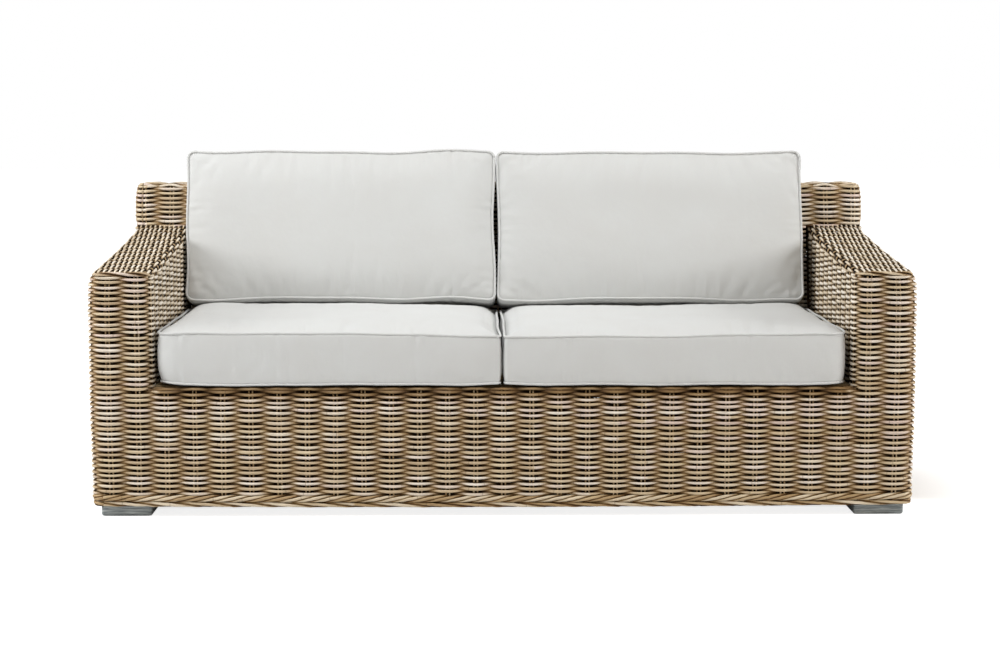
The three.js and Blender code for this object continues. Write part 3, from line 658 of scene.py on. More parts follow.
# %% Stuff a cushion


def on_seam(points, inside, half, corners):
    """Points near a seam, moved out and up or down until they lie on it."""
    moved = push_out(points, half, own_radius(points, corners), inside)
    moved[:, 2] = np.sign(points[:, 2]) * half[2]
    return moved


def blow_up(block):
    """Where cloth simulation with pressure inside takes the points of a block."""
    cloth = block.modifiers.new("cloth", "CLOTH")
    settings = cloth.settings
    settings.quality = 5
    settings.mass = 0.3
    settings.tension_stiffness = settings.compression_stiffness = 18
    settings.shear_stiffness = 8
    settings.bending_stiffness = 0.6
    settings.use_pressure = True
    settings.uniform_pressure_force = 4.0
    settings.shrink_min = -CLOTH_SLACK
    settings.vertex_group_mass = "seams"
    settings.effector_weights.gravity = 0
    cloth.collision_settings.use_self_collision = False
    cloth.point_cache.frame_start, cloth.point_cache.frame_end = 1, CLOTH_STEPS
    for step in range(CLOTH_STEPS + 1):
        bpy.context.scene.frame_set(step)
    swollen = read_points(block.evaluated_get(bpy.context.evaluated_depsgraph_get()).data)
    block.modifiers.remove(cloth)
    return swollen


def stuff(block, half, corners, crowns, cap):
    """Crowns a block and blows it up with its seams held, each point by no more than a cap."""
    points = read_points(block.data)
    inside = edge_distance(points, half, corners)
    held = np.flatnonzero((inside < SEAM_REACH) & (half[2] - np.abs(points[:, 2]) < SEAM_REACH))
    points[held] = on_seam(points[held], inside[held], half, corners)
    inside[held] = 0
    on_panel = np.clip((np.abs(points[:, 2]) - half[2] + 6) / 5, 0, 1)
    rise = 1 - (1 - np.clip(inside / (0.55 * half[1]), 0, 1)) ** 2.6
    crown = np.where(points[:, 2] > 0, crowns[0], crowns[1])
    points[:, 2] += np.sign(points[:, 2]) * on_panel * rise * crown
    points = pull_sides(points, half, SIDE_PULL)
    write_points(block.data, points)
    block.vertex_groups.new(name="seams").add(held.tolist(), 1.0, "REPLACE")
    move = blow_up(block) - points
    length = np.maximum(np.linalg.norm(move, axis=1, keepdims=True), 1e-6)
    limit = np.where(on_panel > 0.5, cap, 0.45 * cap)[:, None]
    write_points(block.data, points + move / length * limit * np.tanh(length / limit))
    print(block.name, "swelled by up to", round(float(length.max()), 1), "mm before its cap")


# %% [markdown]
# Sewn cloth is never smooth. Slow waves make it uneven, short folds gather along the seams, and
# the piping follows the same line as the seam that it is sewn into.

# %% Wrinkle a cover


def waves(count, shortest, longest, seed):
    """A gentle random function of one number, made of sines."""
    own = np.random.default_rng(seed)
    size = own.uniform(0.4, 1, count)
    pace = 2 * math.pi / own.uniform(shortest, longest, count)
    shift = own.uniform(0, 6.3, count)
    return lambda s: (np.sin(np.asarray(s)[..., None] * pace + shift) * size).sum(-1) / math.sqrt(count)


def loosen(points, half, seed, loose):
    """The slow unevenness of a sewn cushion, a millimetre or two over a hand's width."""
    moved = points.copy()
    for axis, other, size in ((2, 0, 1.3), (1, 0, 1.5), (0, 1, 1.3), (2, 1, 1.0)):
        share = np.clip(np.abs(points[:, axis]) / half[axis], 0, 1)
        wander = waves(5, 190, 620, seed + 7 * axis + other)
        moved[:, axis] += loose * size * share * wander(points[:, other])
    return moved


def pucker(points, half, corners, seed, size):
    """Short folds that run square to the seams and die out within a few centimetres."""
    on_panel = np.abs(points[:, 2]) > half[2] + 0.5
    to_seam = np.where(on_panel, edge_distance(points, half, corners), half[2] - np.abs(points[:, 2]))
    away = np.maximum(to_seam, 0)
    to_side, to_end = (half[i] - np.abs(points[:, i]) for i in (0, 1))
    near_y = np.clip(0.5 + (to_side - to_end) / 60, 0, 1)
    folds = 0
    for axis, share in ((0, near_y), (1, 1 - near_y)):
        s, own = points[:, axis], seed + 2 * axis
        here = np.clip(waves(3, 130, 330, own + 1)(s) + 0.25, 0, 1.4)
        folds += waves(7, 17, 46, own)(s) * here * share
    reach = np.where(on_panel, 30.0, 20.0)
    more = 1 + 0.9 * np.exp(-np.hypot(to_side, to_end) / 80)
    depth = size * folds * np.exp(-away / reach) * (1 - np.exp(-away / 6)) * more
    side = np.where(on_panel, 0, depth)
    folded = [side * (1 - near_y), side * near_y, np.where(on_panel, depth, 0)]
    return points + np.sign(points) * np.column_stack(folded)


def seam_line(half, height, corners):
    """The closed line of a seam, as points in millimetres."""
    line = []
    a, b = half[0], half[1]
    for sx, sy, start in ((1, 1, 0), (-1, 1, 90), (-1, -1, 180), (1, -1, 270)):
        r = corners[1] if sx > 0 else corners[0]
        for step in range(8):
            angle = math.radians(start + 90 * step / 7)
            x, y = sx * (a - r) + r * math.cos(angle), sy * (b - r) + r * math.sin(angle)
            line.append((x, y, height))
    line = np.array([*line, line[0]])
    s = lengths(line)
    return along_line(np.arange(0, s[-1] + 8, 8.0) % s[-1], line, s)


# %% [markdown]
# The covers are off-white canvas. At this distance it is nearly plain, so its thread is a fine
# bump at 1.1 mm, with a softer unevenness of a few centimetres and a hint of a warmer tint.

# %% Make the canvas


def canvas_material(name, colour, shade):
    """Plain canvas, woven along and across each panel."""
    material, tree = new_material(name)
    place = object_place(tree)
    x, y, z = add_node(tree, "ShaderNodeSeparateXYZ", {0: place}).outputs
    flat = add_node(tree, "ShaderNodeCombineXYZ", {0: x, 1: combine(tree, "ADD", y, z)}).outputs[0]
    wave = dict(links={"Vector": flat}, Scale=THREAD_SCALE, Distortion=1.0)
    warp, weft = (add_node(tree, "ShaderNodeTexWave", bands_direction=way, **wave) for way in "XY")
    threads = combine(tree, "ADD", warp.outputs["Fac"], weft.outputs["Fac"])
    cloud = noise(tree, place, 9.0, 4.0)
    slub = add_node(tree, "ShaderNodeTexNoise", {"Vector": flat}, Scale=420.0, Detail=2.0)
    tint = blend(tree, 0.06, blend(tree, cloud, colour, shade), slub.outputs["Color"], "MULTIPLY")
    normal = bumped(tree, cloud, 0.3, 0.012, Normal=bumped(tree, threads, 0.25, 0.0002))
    links = {"Base Color": tint, "Normal": normal}
    skin(tree, links, Roughness=0.9, IOR=1.45, Sheen_Weight=0.12, Sheen_Roughness=0.5)
    return material


THREAD_SCALE = 285.0
canvas = canvas_material("off_white_canvas", "#CDCFCE", "#C8C8C6")
zip_tape = canvas_material("zip_tape", "#D2D0C8", "#C9C7BE")

# %% [markdown]
# Each cushion is made flat and then turned into place: a seat cushion lies, a back cushion leans.
# No two are alike in a photograph of a real sofa, so each has its own shift and its own sags. Its
# zip sits in the band that nobody sees: two tapes, a coil between them and a slider.

# %% Make the four cushions
# crowns are the heights of the upper and the lower panel, and corners the radii of the corners at
# the sofa's middle and at its arm.
LAYOUT = {
    "seat_cushion": dict(body="seat", half_thick=67.0, corners=(10.0, 40.0), crowns=(26.0, 8.0)),
    "back_cushion": dict(body="back", half_thick=63.0, corners=(17.0, 21.0), crowns=(20.0, 6.0)),
}
LAYOUT["seat_cushion"].update(turn=0.0, cap=14.0, zip_side=1, roll=0.0, loose=1.0)
LAYOUT["back_cushion"].update(turn=math.radians(78), cap=11.0, zip_side=-1, roll=6.5, loose=2.0)
# A block is given a part of its crown, and the cloth blows up the rest.
CROWN_SHARE, APART, FOLD_SIZE = 0.62, 1.5, 2.5
# How far each cushion lies to the side and how far down it has slipped, how much narrower it is, how
# far its seams draw together at its corners (the lower seam's left and right, then the upper seam's),
# and how far its top has settled at its left, its middle and its right.
OWN_WAYS = {
    "seat_cushion_left": (-2.2, 0.0, -2.6, (5.5, 3.0, 3.0, 0.5), (1.0, 3.0, 10.0)),
    "seat_cushion_right": (-4.8, 0.0, -2.6, (3.0, 2.0, 0.5, 3.0), (11.0, 11.0, 3.0)),
    "back_cushion_left": (-7.5, 3.0, 0.0, (2.0, 2.0, 0.5, 0.5), (0.0, 0.0, 0.0)),
    "back_cushion_right": (-18.5, 6.0, 3.0, (2.0, 2.0, 0.5, 0.5), (0.0, 0.0, 0.0)),
}


def cushion(name, kind, side, seed):
    """Makes one cushion: its stuffed cover with piping in both seams."""
    facts = LAYOUT[kind]
    turn, thick = facts["turn"], facts["half_thick"]
    cos, sin = math.cos(turn), math.sin(turn)
    turned = np.array([[1, 0, 0], [0, cos, sin], [0, -sin, cos]])
    local = read_points(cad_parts[name + "_cover"].data) @ turned.T
    low, high = local.min(axis=0), local.max(axis=0)
    shift, drop, slim, lifts, sink = OWN_WAYS[name]
    centre = (low + high) / 2
    centre[2] = low[2] + facts["crowns"][1] + thick
    centre[:2] += [shift, -drop]
    outer = (high - low) / 2
    half = [outer[0] - SEAM_INSET - APART - slim, outer[1] - SEAM_INSET, thick]
    corners = facts["corners"] if side == "right" else facts["corners"][::-1]

    def used(points):
        """What use does to points on the cover or on its piping."""
        points = ease_corners(loosen(points, half, seed + 50, facts["loose"]), half, corners, lifts)
        return sink_top(roll_under(points, half, facts["roll"]), half, sink)

    block = even_block(name + "_cover_canvas", half, corners)
    stuff(block, half, corners, [CROWN_SHARE * c for c in facts["crowns"]], facts["cap"])
    smooth = block.modifiers.new("smooth", "SUBSURF")
    smooth.levels = smooth.render_levels = 1
    apply_all(block)
    points = firm_corners(read_points(block.data), half, corners)
    points = used(pucker(points, half, corners, seed, FOLD_SIZE))
    write_points(block.data, points @ turned + centre @ turned)
    bpy.ops.object.shade_smooth()
    block.data.materials.clear()
    block.data.materials.append(canvas)
    piping = Canes(10, hand_laid=False)
    for height in (-thick, thick):
        line = seam_line([half[0] + 0.3, half[1] + 0.3], height, [c + 0.3 for c in corners])
        line = used(pull_sides(line, half, SIDE_PULL))
        away = unit(line * [1, 1, 0])
        piping.lay(line @ turned + centre @ turned, away @ turned, PIPING, 0.5, 1.0)
    join(block, piping.make(name + "_piping", canvas, declare=False))
    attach(block, facts["body"] + "_" + side)
    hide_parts(name + "_cover", name + "_foam")
    return block, half, turned, centre


def zip_strip(name, kind, side, cover, half, turned, centre):
    """A zip on the hidden band of a cushion: two tapes, a coil between them, and a slider."""
    facts = LAYOUT[kind]
    facing = facts["zip_side"]
    bpy.ops.mesh.primitive_grid_add(x_subdivisions=90, y_subdivisions=6, size=2)
    strip = bpy.context.active_object
    strip.name = name + "_zip_strip"
    # The grid is two metres wide, so its points over 1000 go from -1 to 1.
    grid = read_points(strip.data) / 1000
    behind = np.full(len(grid), facing * (half[1] + 60))
    local = np.column_stack([grid[:, 0] * (half[0] - 88), behind, grid[:, 1] * 11.5])
    inward = np.array([0, -facing, 0]) @ turned
    landed = []
    for start in local @ turned + centre @ turned:
        hit, place, _, _ = cover.ray_cast(Vector(start * MM), Vector(inward))
        landed.append(np.array(place) / MM if hit else start + inward * 60)
    landed = np.array(landed) - inward * 0.6
    write_points(strip.data, landed)
    wall = strip.modifiers.new("tape", "SOLIDIFY")
    wall.thickness = 1.2 * MM
    wall.offset = 1.0 if facing < 0 else -1.0
    apply_all(strip)
    bpy.ops.object.mode_set(mode="EDIT")
    bpy.ops.mesh.select_all(action="SELECT")
    bpy.ops.mesh.normals_make_consistent(inside=False)
    bpy.ops.object.mode_set(mode="OBJECT")
    strip.data.materials.append(zip_tape)
    middle = landed[np.abs(grid[:, 1]) < 0.26]
    middle = middle[np.argsort(middle[:, 0])]
    columns = middle.reshape(-1, max(1, len(middle) // 90), 3).mean(axis=1) - inward * 1.2
    coil = Canes(8, hand_laid=False)
    coil.lay(columns, np.tile(-inward, (len(columns), 1)), 1.9, 0.5, 1.0)
    teeth = coil.make(name + "_coil", zip_teeth, declare=False)
    bpy.ops.mesh.primitive_cube_add(size=1, location=(columns[4] - inward * 2.2) * MM)
    slider = bpy.context.active_object
    slider.scale = (0.013, 0.0075, 0.0075 if facing > 0 else 0.006)
    bpy.ops.object.transform_apply(location=True, scale=True)
    rounded = slider.modifiers.new("rounded", "BEVEL")
    rounded.width, rounded.segments = 0.0015, 3
    apply_all(slider)
    slider.data.materials.append(zip_teeth)
    join(strip, teeth, slider)
    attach(strip, facts["body"] + "_" + side)
    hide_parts(name + "_zip")


zip_teeth, tree = new_material("zip_teeth_nylon")
ridges = add_node(tree, "ShaderNodeTexWave", {"Vector": object_place(tree)}, Scale=170.0)
ridged = {"Normal": bumped(tree, ridges.outputs["Fac"], 0.8, 0.0006)}
skin(tree, ridged, Base_Color=to_linear("#BDBBB2"), Roughness=0.4, IOR=1.53)

for number, (kind, side) in enumerate([(k, s) for k in LAYOUT for s in ("left", "right")]):
    name = kind + "_" + side
    zip_strip(name, kind, side, *cushion(name, kind, side, 100 * number + 11))
    print(name, "made")

# %% [markdown]
# A course is the line, seen from above, that one row of weaving follows: straight along each wall
# and round at each corner. It is stored as a table of points by distance, and the stakes are marks
# along it. Between two stakes the row swings from the outside to the inside like a cosine.

# %% Draw the courses
SAMPLES = 6
CANE_RADIUS, STAKE_RADIUS, STAKE_SPREAD = 3.6, 2.4, 4.6
# How far a cane stands out of the middle of the weave, and how far it sags there and behind.
OVER, SAG, UNDER_SAG = 5.2, 2.0, 3.4
# What differs from row to row: the ride at each stake, the thickness, and the chance of a new cane.
RIDE, THICKNESS_SPREAD, NEW_CANE_CHANCE = 0.85, 0.06, 0.07
# The sides and the back are woven of slightly thicker cane than the front.
FRONT_DEPTH, THICKER_BEHIND = 40, 1.1
# A row's end goes down into the weave over this length, to this depth below the deepest pass.
DIVE_LENGTH, DIVE_DEPTH = 14.0, 3


class Course:
    """A rounded line in plan with stakes on it. Its outside is on the left of its direction."""

    def __init__(self, corners, radius, closed):
        corners = [np.array(c, float) for c in corners]
        table = []
        count = len(corners)
        for i, corner in enumerate(corners):
            if not closed and i in (0, count - 1):
                table.append(corner)
                continue
            before, after = corners[i - 1] - corner, corners[(i + 1) % count] - corner
            before, after = before / np.linalg.norm(before), after / np.linalg.norm(after)
            centre = corner + radius * (before + after)
            for step in range(9):
                angle = math.pi / 2 * step / 8
                table.append(centre - radius * (after * math.cos(angle) + before * math.sin(angle)))
        if closed:
            table.append(table[0])
        self.closed = closed
        self.table = np.array(table)
        self.distance = lengths(self.table)
        self.length = self.distance[-1]
        self.stakes = np.array([])
        self.first = 0

    def plan(self, s):
        """Points at distances along the course."""
        s = np.asarray(s, float) % self.length if self.closed else s
        return along_line(s, self.table, self.distance)

    def at(self, s):
        """Points, and directions to the outside, at distances along the course."""
        s = np.asarray(s, float) % self.length if self.closed else s
        ahead = self.plan(s + 1.5) - self.plan(s - 1.5)
        return self.plan(s), unit(np.stack([-ahead[..., 1], ahead[..., 0]], axis=-1))

    def place_of(self, point):
        """The distance along the course of the place nearest to a point."""
        s = np.linspace(0, self.length, int(self.length / 2))
        return s[np.argmin(np.linalg.norm(self.plan(s) - np.array(point, float), axis=1))]

    def set_stakes(self, points, first=0):
        """Puts stakes at the places nearest to the points, in order along the course."""
        self.stakes = np.sort([self.place_of(p) for p in points])
        self.first = first


X_MID, FRONT_MID, BACK_MID = OUTER_X - HALF_THICK, FRONT_Y + HALF_THICK, BACK_Y - HALF_THICK
INNER_MID = INNER_X + HALF_THICK
BEND = CORNER - HALF_THICK
LEANING_HALF = HALF_THICK / math.cos(RAKE)
front_xs = STAKE_PITCH * np.arange(-14, 15)
side_ys = SIDE_PITCH * np.arange(-6, 7)
# The backrest's face has its outer stakes closer to the corners.
block_xs = np.concatenate([[-1030, -954], np.linspace(-878, 878, 25), [954, 1030]])


def round_walls(face):
    """A course all round the four walls, with its front at a depth."""
    return Course([(-X_MID, face), (-X_MID, BACK_MID), (X_MID, BACK_MID), (X_MID, face)], BEND, True)


def upright_places(xs, ys):
    """Stake places on the back and on both sides."""
    return [(x, BACK_MID) for x in xs] + [(side, y) for side in (-X_MID, X_MID) for y in ys]


base_course = round_walls(FRONT_MID)
base_course.set_stakes(upright_places(front_xs, side_ys) + [(x, FRONT_MID) for x in front_xs])
print("base course:", round(base_course.length), "mm,", len(base_course.stakes), "stakes")


def cut_at_arms(z):
    """How far forward a row can come under the slope of an arm: the y of its front end."""
    ys = np.linspace(FRONT_Y, FACE_FOOT, 200)
    tops = arm_top_z(ys) - 2 * HALF_THICK + 1.0
    above = ys[tops > z]
    return above[0] if len(above) else FACE_FOOT


def arm_course(z):
    """A course up one inner arm face, round the arm, along the back and round the other arm."""
    rear = face_y(z) + 2
    inner = [y for y in side_ys if y < rear - 8]
    right = [(X_MID, BACK_MID), (X_MID, FRONT_MID), (INNER_MID, FRONT_MID), (INNER_MID, rear)]
    left = [(-x, y) for x, y in right[::-1]]
    course = Course(left + right, BEND, False)
    places = [(side, y) for side in (-INNER_MID, INNER_MID) for y in inner]
    places += [(x, FRONT_MID) for x in (*front_xs[:2], *front_xs[-2:])]
    course.set_stakes(places + upright_places(front_xs, side_ys), -(len(inner) + 2))
    return course


def block_course(z):
    """A course round the top of the backrest, where its front face leans."""
    face = face_y(z) + LEANING_HALF
    course = round_walls(face)
    places = upright_places(front_xs, [(face + BACK_MID) / 2])
    course.set_stakes(places + [(x, face) for x in block_xs])
    # The numbering carries on from the rows below: the back's middle stake keeps its number.
    number = len(side_ys) + len(front_xs) // 2
    middle = course.place_of((0, BACK_MID))
    course.first = number - int(np.argmin(np.abs(course.stakes - middle)))
    return course


# %% [markdown]
# Now the rows. Every other row passes outside a given stake, so two rows make one full pattern.
# Hand work is never even: each row has its own thickness, and it rides a little up or down at each
# stake. A row changes to a new cane every metre or two, always behind a stake, where a weaver
# would hide the joint.


# %% Weave rows along a course
def smooth_noise(count, size):
    """Random numbers that change gently from one stake to the next."""
    raw = dice.normal(0, 1, count + 2)
    return size * (raw[:-2] + 2 * raw[1:-1] + raw[2:]) / 3


def own_numbers(phase, row):
    """A random number for each ring, which changes where the row is behind a stake."""
    behind = np.floor((phase + row) / 2)
    changes, value = {}, dice.uniform(0, 1)
    for turn in np.unique(behind):
        if dice.uniform() < NEW_CANE_CHANCE:
            value = dice.uniform(0, 1)
        changes[turn] = value
    return np.array([changes[turn] for turn in behind])


def swing(phase, row):
    """How a cane goes over and under stakes: a wave from -1 to 1, and the height that it gives."""
    wave = np.cos(math.pi * (phase + row))
    # A flatter crest than a cosine's, because a cane is stiff and bends mostly between stakes.
    return wave, OVER * np.sign(wave) * np.abs(wave) ** 0.8


def row_of(course, row, z, samples=SAMPLES, start=None, stop=None, dive=False):
    """One row as a dictionary of arrays. start and stop are distances along the course.

    A row that dives has its ends tucked into the weave."""
    marks = course.stakes
    if course.closed:
        marks = np.concatenate([marks, [marks[0] + course.length]])
        start, stop = marks[0], marks[-1]
    start = 0 if start is None else start
    stop = course.length if stop is None else stop
    before, after = STAKE_PITCH * np.array([-2, -1]), STAKE_PITCH * np.array([1, 2])
    wide = np.concatenate([marks[0] + before, marks, marks[-1] + after])
    index = np.arange(-2, len(marks) + 2) + course.first
    low, high = np.interp(start, wide, index), np.interp(stop, wide, index)
    steps = max(2, int(round((high - low) * samples)))
    phase = np.linspace(low, high, steps + 1)
    s = np.interp(phase, index, wide)
    plan, out = course.at(s)
    wave, height = swing(phase, row)
    # A cane is painted darker where it passes behind a stake: painted shade from the weave's depth.
    relief = 0.5 + 0.5 * wave
    if dive:
        for to_end in (s - start, stop - s):
            share = np.clip(1 - to_end / DIVE_LENGTH, 0, 1)
            height = height * (1 - share) - (OVER + DIVE_DEPTH) * share
            # A tucked end is painted darker, as the shade inside the weave.
            relief = relief * (1 - 0.4 * share)
    bumps = smooth_noise(len(index) + 1, RIDE)
    if course.closed:
        bumps[-3] = bumps[2]
    # The passes behind the stakes hang lower, so that no slit lets light through to an eye above.
    sag = np.where(wave < 0, UNDER_SAG, SAG)
    lift = np.interp(phase, index, bumps[: len(index)]) - sag * np.abs(wave)
    thick = CANE_RADIUS * (1 + dice.normal(0, THICKNESS_SPREAD))
    thick = thick * (1 + np.interp(phase, index, smooth_noise(len(index), THICKNESS_SPREAD)))
    thick = thick * np.where(plan[:, 1] > FRONT_MID + FRONT_DEPTH, THICKER_BEHIND, 1.0)
    own = own_numbers(phase, row)
    if course.closed:
        own[-1], thick[-1], lift[-1] = own[0], thick[0], lift[0]
    centre = np.column_stack([plan + out * height[:, None], z + lift])
    outward = np.column_stack([out, np.zeros(len(out))])
    along = s - s[0]
    tube = dict(centre=centre, outward=outward, radius=thick, own=own, relief=relief, along=along)
    return dict(tube, phase=phase)


def lay_parts(row, *parts):
    """Shares a row among walls. A part is a wall and the phases between which it has the row."""
    for wall, low, high in parts:
        keep = np.flatnonzero((row["phase"] >= low - 1e-6) & (row["phase"] <= high + 1e-6))
        if len(keep) > 1:
            woven[wall].lay(**{key: value[keep] for key, value in row.items() if key != "phase"})


# %% [markdown]
# A row runs on round a corner, but each wall is a piece of its own. So a row is cut where it passes
# behind a stake. First come the rows round the base, then those that also go round the arms, and
# last those round the top of the backrest.

# %% Weave the walls
WALLS = ["front", "side_left", "side_right", "back_lower", "back_upper", "arm_inner_left"]
WALLS += ["arm_inner_right", "backrest_upper", "backrest_lower"]
woven = {name: Canes() for name in WALLS}
# Phases before and after all stakes, for a part that has a row's end.
EARLY, LATE = -99, 999

# Where the walls meet, in stakes counted from the left side's first.
SIDE_COUNT, WIDE_COUNT = len(side_ys), len(front_xs)
LEFT_END = SIDE_COUNT
BACK_END = LEFT_END + WIDE_COUNT
RIGHT_END = BACK_END + SIDE_COUNT
FRONT_END = RIGHT_END + WIDE_COUNT


def seams(row, *stakes):
    """For each stake near a corner, the nearest one that this row passes behind, to hide a seam."""
    return [stake if (stake + row) % 2 else stake - 1 for stake in stakes]


# Above this height a twined edge takes the place of the front's rows.
TWINE_LOW = DECK_HIGH - 8
# The back's many canes are two pieces, one above the other.
BACK_SPLIT = 480


def shade_under_cushion(phase, height):
    """How dark the skirt is painted: painted shade, with some dirt, at its top below the cushions."""
    middle = (phase > RIGHT_END + 1.8) & (phase < FRONT_END - 2.8)
    return np.where(middle, np.interp(DECK_HIGH - height, [0, 12, 42], [0.38, 0.5, 1.0]), 1.0)


k = 0
z = WALL_LOW + ROW_PITCH / 2
while z < DECK_HIGH - ROW_PITCH / 2:
    row = row_of(base_course, k, z)
    row["relief"] = row["relief"] * shade_under_cushion(row["phase"], z)
    a, b, c, d = seams(k, LEFT_END, BACK_END, RIGHT_END, FRONT_END)
    lay_parts(row, ("side_left", EARLY, a), ("back_lower", a, b), ("side_right", b, c))
    if z < TWINE_LOW:
        lay_parts(row, ("front", c, d))
    else:
        lay_parts(row, ("front", c, RIGHT_END + 1.6), ("front", FRONT_END - 2.6, d))
    lay_parts(row, ("side_left", d, LATE))
    k += 1
    z += ROW_PITCH
print("rows round the base:", k)

while z < ARM_BACK_HIGH - 3:
    course = arm_course(z)
    front_end = cut_at_arms(z)
    left, right = EARLY, LATE
    if front_end <= FRONT_Y + 1:
        outer = row_of(course, k, z, dive=True)
        low, left, right, high = seams(k, -2, 0, RIGHT_END, RIGHT_END + 2)
        lay_parts(outer, ("arm_inner_left", EARLY, low), ("front", low, left))
        lay_parts(outer, ("front", right, high), ("arm_inner_right", high, LATE))
    else:
        rear = face_y(z)
        if z < ARM_FRONT_HIGH - 11:
            row = row_of(course, k, z)
            lay_parts(row, ("front", -2.6, -0.4), ("front", RIGHT_END - 0.6, RIGHT_END + 1.6))
        if rear - front_end > 30:
            for side, x in (("left", -INNER_MID), ("right", INNER_MID)):
                start, stop = sorted(course.place_of((x, y)) for y in (rear, front_end))
                inner = row_of(course, k, z, start=start, stop=stop, dive=True)
                lay_parts(inner, ("arm_inner_" + side, EARLY, LATE))
        ahead = max(front_end, FRONT_Y + CORNER)
        start, stop = (course.place_of((x, ahead)) for x in (-X_MID, X_MID))
        outer = row_of(course, k, z, start=start, stop=stop, dive=True)
    a, b = seams(k, LEFT_END, BACK_END)
    back = "back_upper" if z > BACK_SPLIT else "back_lower"
    lay_parts(outer, ("side_left", left, a), (back, a, b), ("side_right", b, right))
    k += 1
    z += ROW_PITCH
print("rows up to the arms:", k)

while z < BACK_HIGH - 10:
    row = row_of(block_course(z), k, z)
    a, b, c, d = seams(k, LEFT_END, BACK_END, BACK_END + 1, BACK_END + 1 + WIDE_COUNT)
    lay_parts(row, ("side_left", EARLY, a), ("back_upper", a, b), ("side_right", b, c))
    lay_parts(row, ("backrest_upper", c, d), ("side_left", d, LATE))
    k += 1
    z += ROW_PITCH
print("rows up to the top:", k)

# %% [markdown]
# The backrest below the arms' tops is a flat leaning panel between the arms. Its rows run straight
# across, and the cushions hide most of it.

# %% Weave the leaning panel
lean = np.array([0.0, -math.cos(RAKE), math.sin(RAKE)])
z, number = DECK_HIGH + ROW_PITCH, 0
while z < ARM_BACK_HIGH - 3:
    face = face_y(z) + LEANING_HALF
    reach = INNER_X - 2
    straight = Course([(reach, face), (-reach, face)], BEND, False)
    straight.set_stakes([(x, face) for x in block_xs[2:-2]])
    row = row_of(straight, number, z, samples=5)
    away = row["centre"][:, 1:2] - face
    row["centre"] = row["centre"] * [1, 0, 1] + [0, face, 0] - away * lean
    row["radius"] = row["radius"] * 1.08
    row["outward"] = np.tile(lean, (len(away), 1))
    lay_parts(row, ("backrest_lower", EARLY, LATE))
    number += 1
    z += ROW_PITCH
print("rows on the leaning panel:", number)

# %% [markdown]
# Stakes are pairs of thinner cane that stand inside the weave. They show only as short upright
# ticks in the dark gaps, but those ticks are what makes a weave read as woven.

# %% Set the stakes


def lay_stake(canes, line, outward, across):
    """Lays a pair of stakes along a line of points, side by side."""
    line, outward, across = (np.asarray(a, float) for a in (line, outward, across))
    for sign in (-1, 1):
        wobble = dice.normal(0, 0.35, (len(line), 1))
        centre = line + across * (sign * STAKE_SPREAD + wobble)
        # Stakes stand deep in the weave, so they are painted part dark: painted shade.
        canes.lay(centre, outward, STAKE_RADIUS, dice.uniform(), dice.uniform(0.5, 0.68, len(line)))


stakes = {name: Canes(5) for name in ("front", "side_left", "side_right", "back", "backrest")}
# How far stakes go down behind the border, and how high they reach under the top of the back.
STAKE_FOOT, BACK_STAKE_HIGH = 12, BACK_HIGH - 12


def upright(x, y, low, high, out, name):
    """A pair of stakes standing upright at a place in plan."""
    heights = np.linspace(low, high, max(2, int((high - low) / 45)))
    line = [(x, y, h) for h in heights]
    normal = np.tile([*out, 0.0], (len(line), 1))
    beside = np.tile([-out[1], out[0], 0.0], (len(line), 1))
    lay_stake(stakes[name], line, normal, beside)


for x in front_xs:
    top = ARM_FRONT_HIGH - 14 if abs(x) > INNER_X else DECK_HIGH - 2
    upright(x, FRONT_MID, WALL_LOW - STAKE_FOOT, top, (0, -1), "front")
    upright(x, BACK_MID, WALL_LOW - STAKE_FOOT, BACK_STAKE_HIGH, (0, 1), "back")


def over_the_arm(y, sign):
    """A pair of stakes up the side of an arm, over its top and down its inner face."""
    top = arm_top_z(y) - HALF_THICK
    r = 12.0
    outer, inner = X_MID, INNER_MID
    line = [(outer, WALL_LOW)] + [(outer, h) for h in np.linspace(WALL_LOW + 60, top - r, 9)]
    bend = [(r * (1 - math.cos(a)), top - r * (1 - math.sin(a))) for a in (0.5, 1.05, 1.57)]
    line += [(outer - px, pz) for px, pz in bend] + [(inner + px, pz) for px, pz in bend[::-1]]
    behind = y - face_y(DECK_HIGH)
    low = DECK_HIGH - 5 if behind < 0 else DECK_HIGH + behind / math.tan(RAKE) + 10
    line += [(inner, h) for h in np.linspace(top - r, low, 6)]
    middle = np.array([(outer + inner) / 2, top - 60])
    points = np.array([(sign * px, y, pz) for px, pz in line])
    flat = np.array(line) - middle
    normal = np.column_stack([sign * flat[:, 0], np.zeros(len(line)), np.maximum(flat[:, 1], 0)])
    name = "side_left" if sign < 0 else "side_right"
    lay_stake(stakes[name], points, unit(normal), np.tile([0.0, 1.0, 0.0], (len(line), 1)))


BLOCK_MIDDLE = 770
for sign, name in ((-1, "side_left"), (1, "side_right")):
    for y in side_ys:
        if y < FACE_FOOT - 6:
            over_the_arm(y, sign)
        else:
            upright(sign * X_MID, y, WALL_LOW, ARM_BACK_HIGH, (sign, 0), name)
    middle = (face_y(BLOCK_MIDDLE) + HALF_THICK + BACK_MID) / 2
    upright(sign * X_MID, middle, ARM_BACK_HIGH, BACK_STAKE_HIGH, (sign, 0), name)
for x in block_xs:
    low = DECK_HIGH + 4 if abs(x) < INNER_X - 6 else ARM_BACK_HIGH - 2
    line = [(x, face_y(h) + LEANING_HALF, h) for h in np.linspace(low, BACK_STAKE_HIGH, 8)]
    lay_stake(stakes["backrest"], line, np.tile(lean, (8, 1)), np.tile([1.0, 0.0, 0.0], (8, 1)))
print("stakes set")

# %% [markdown]
# The arm tops and the top of the back are woven the same way, but their rows run lengthways and
# lie side by side over a section with round edges. The rows of an arm dip behind its front edge,
# and at the back they sweep up into the foot of the backrest.


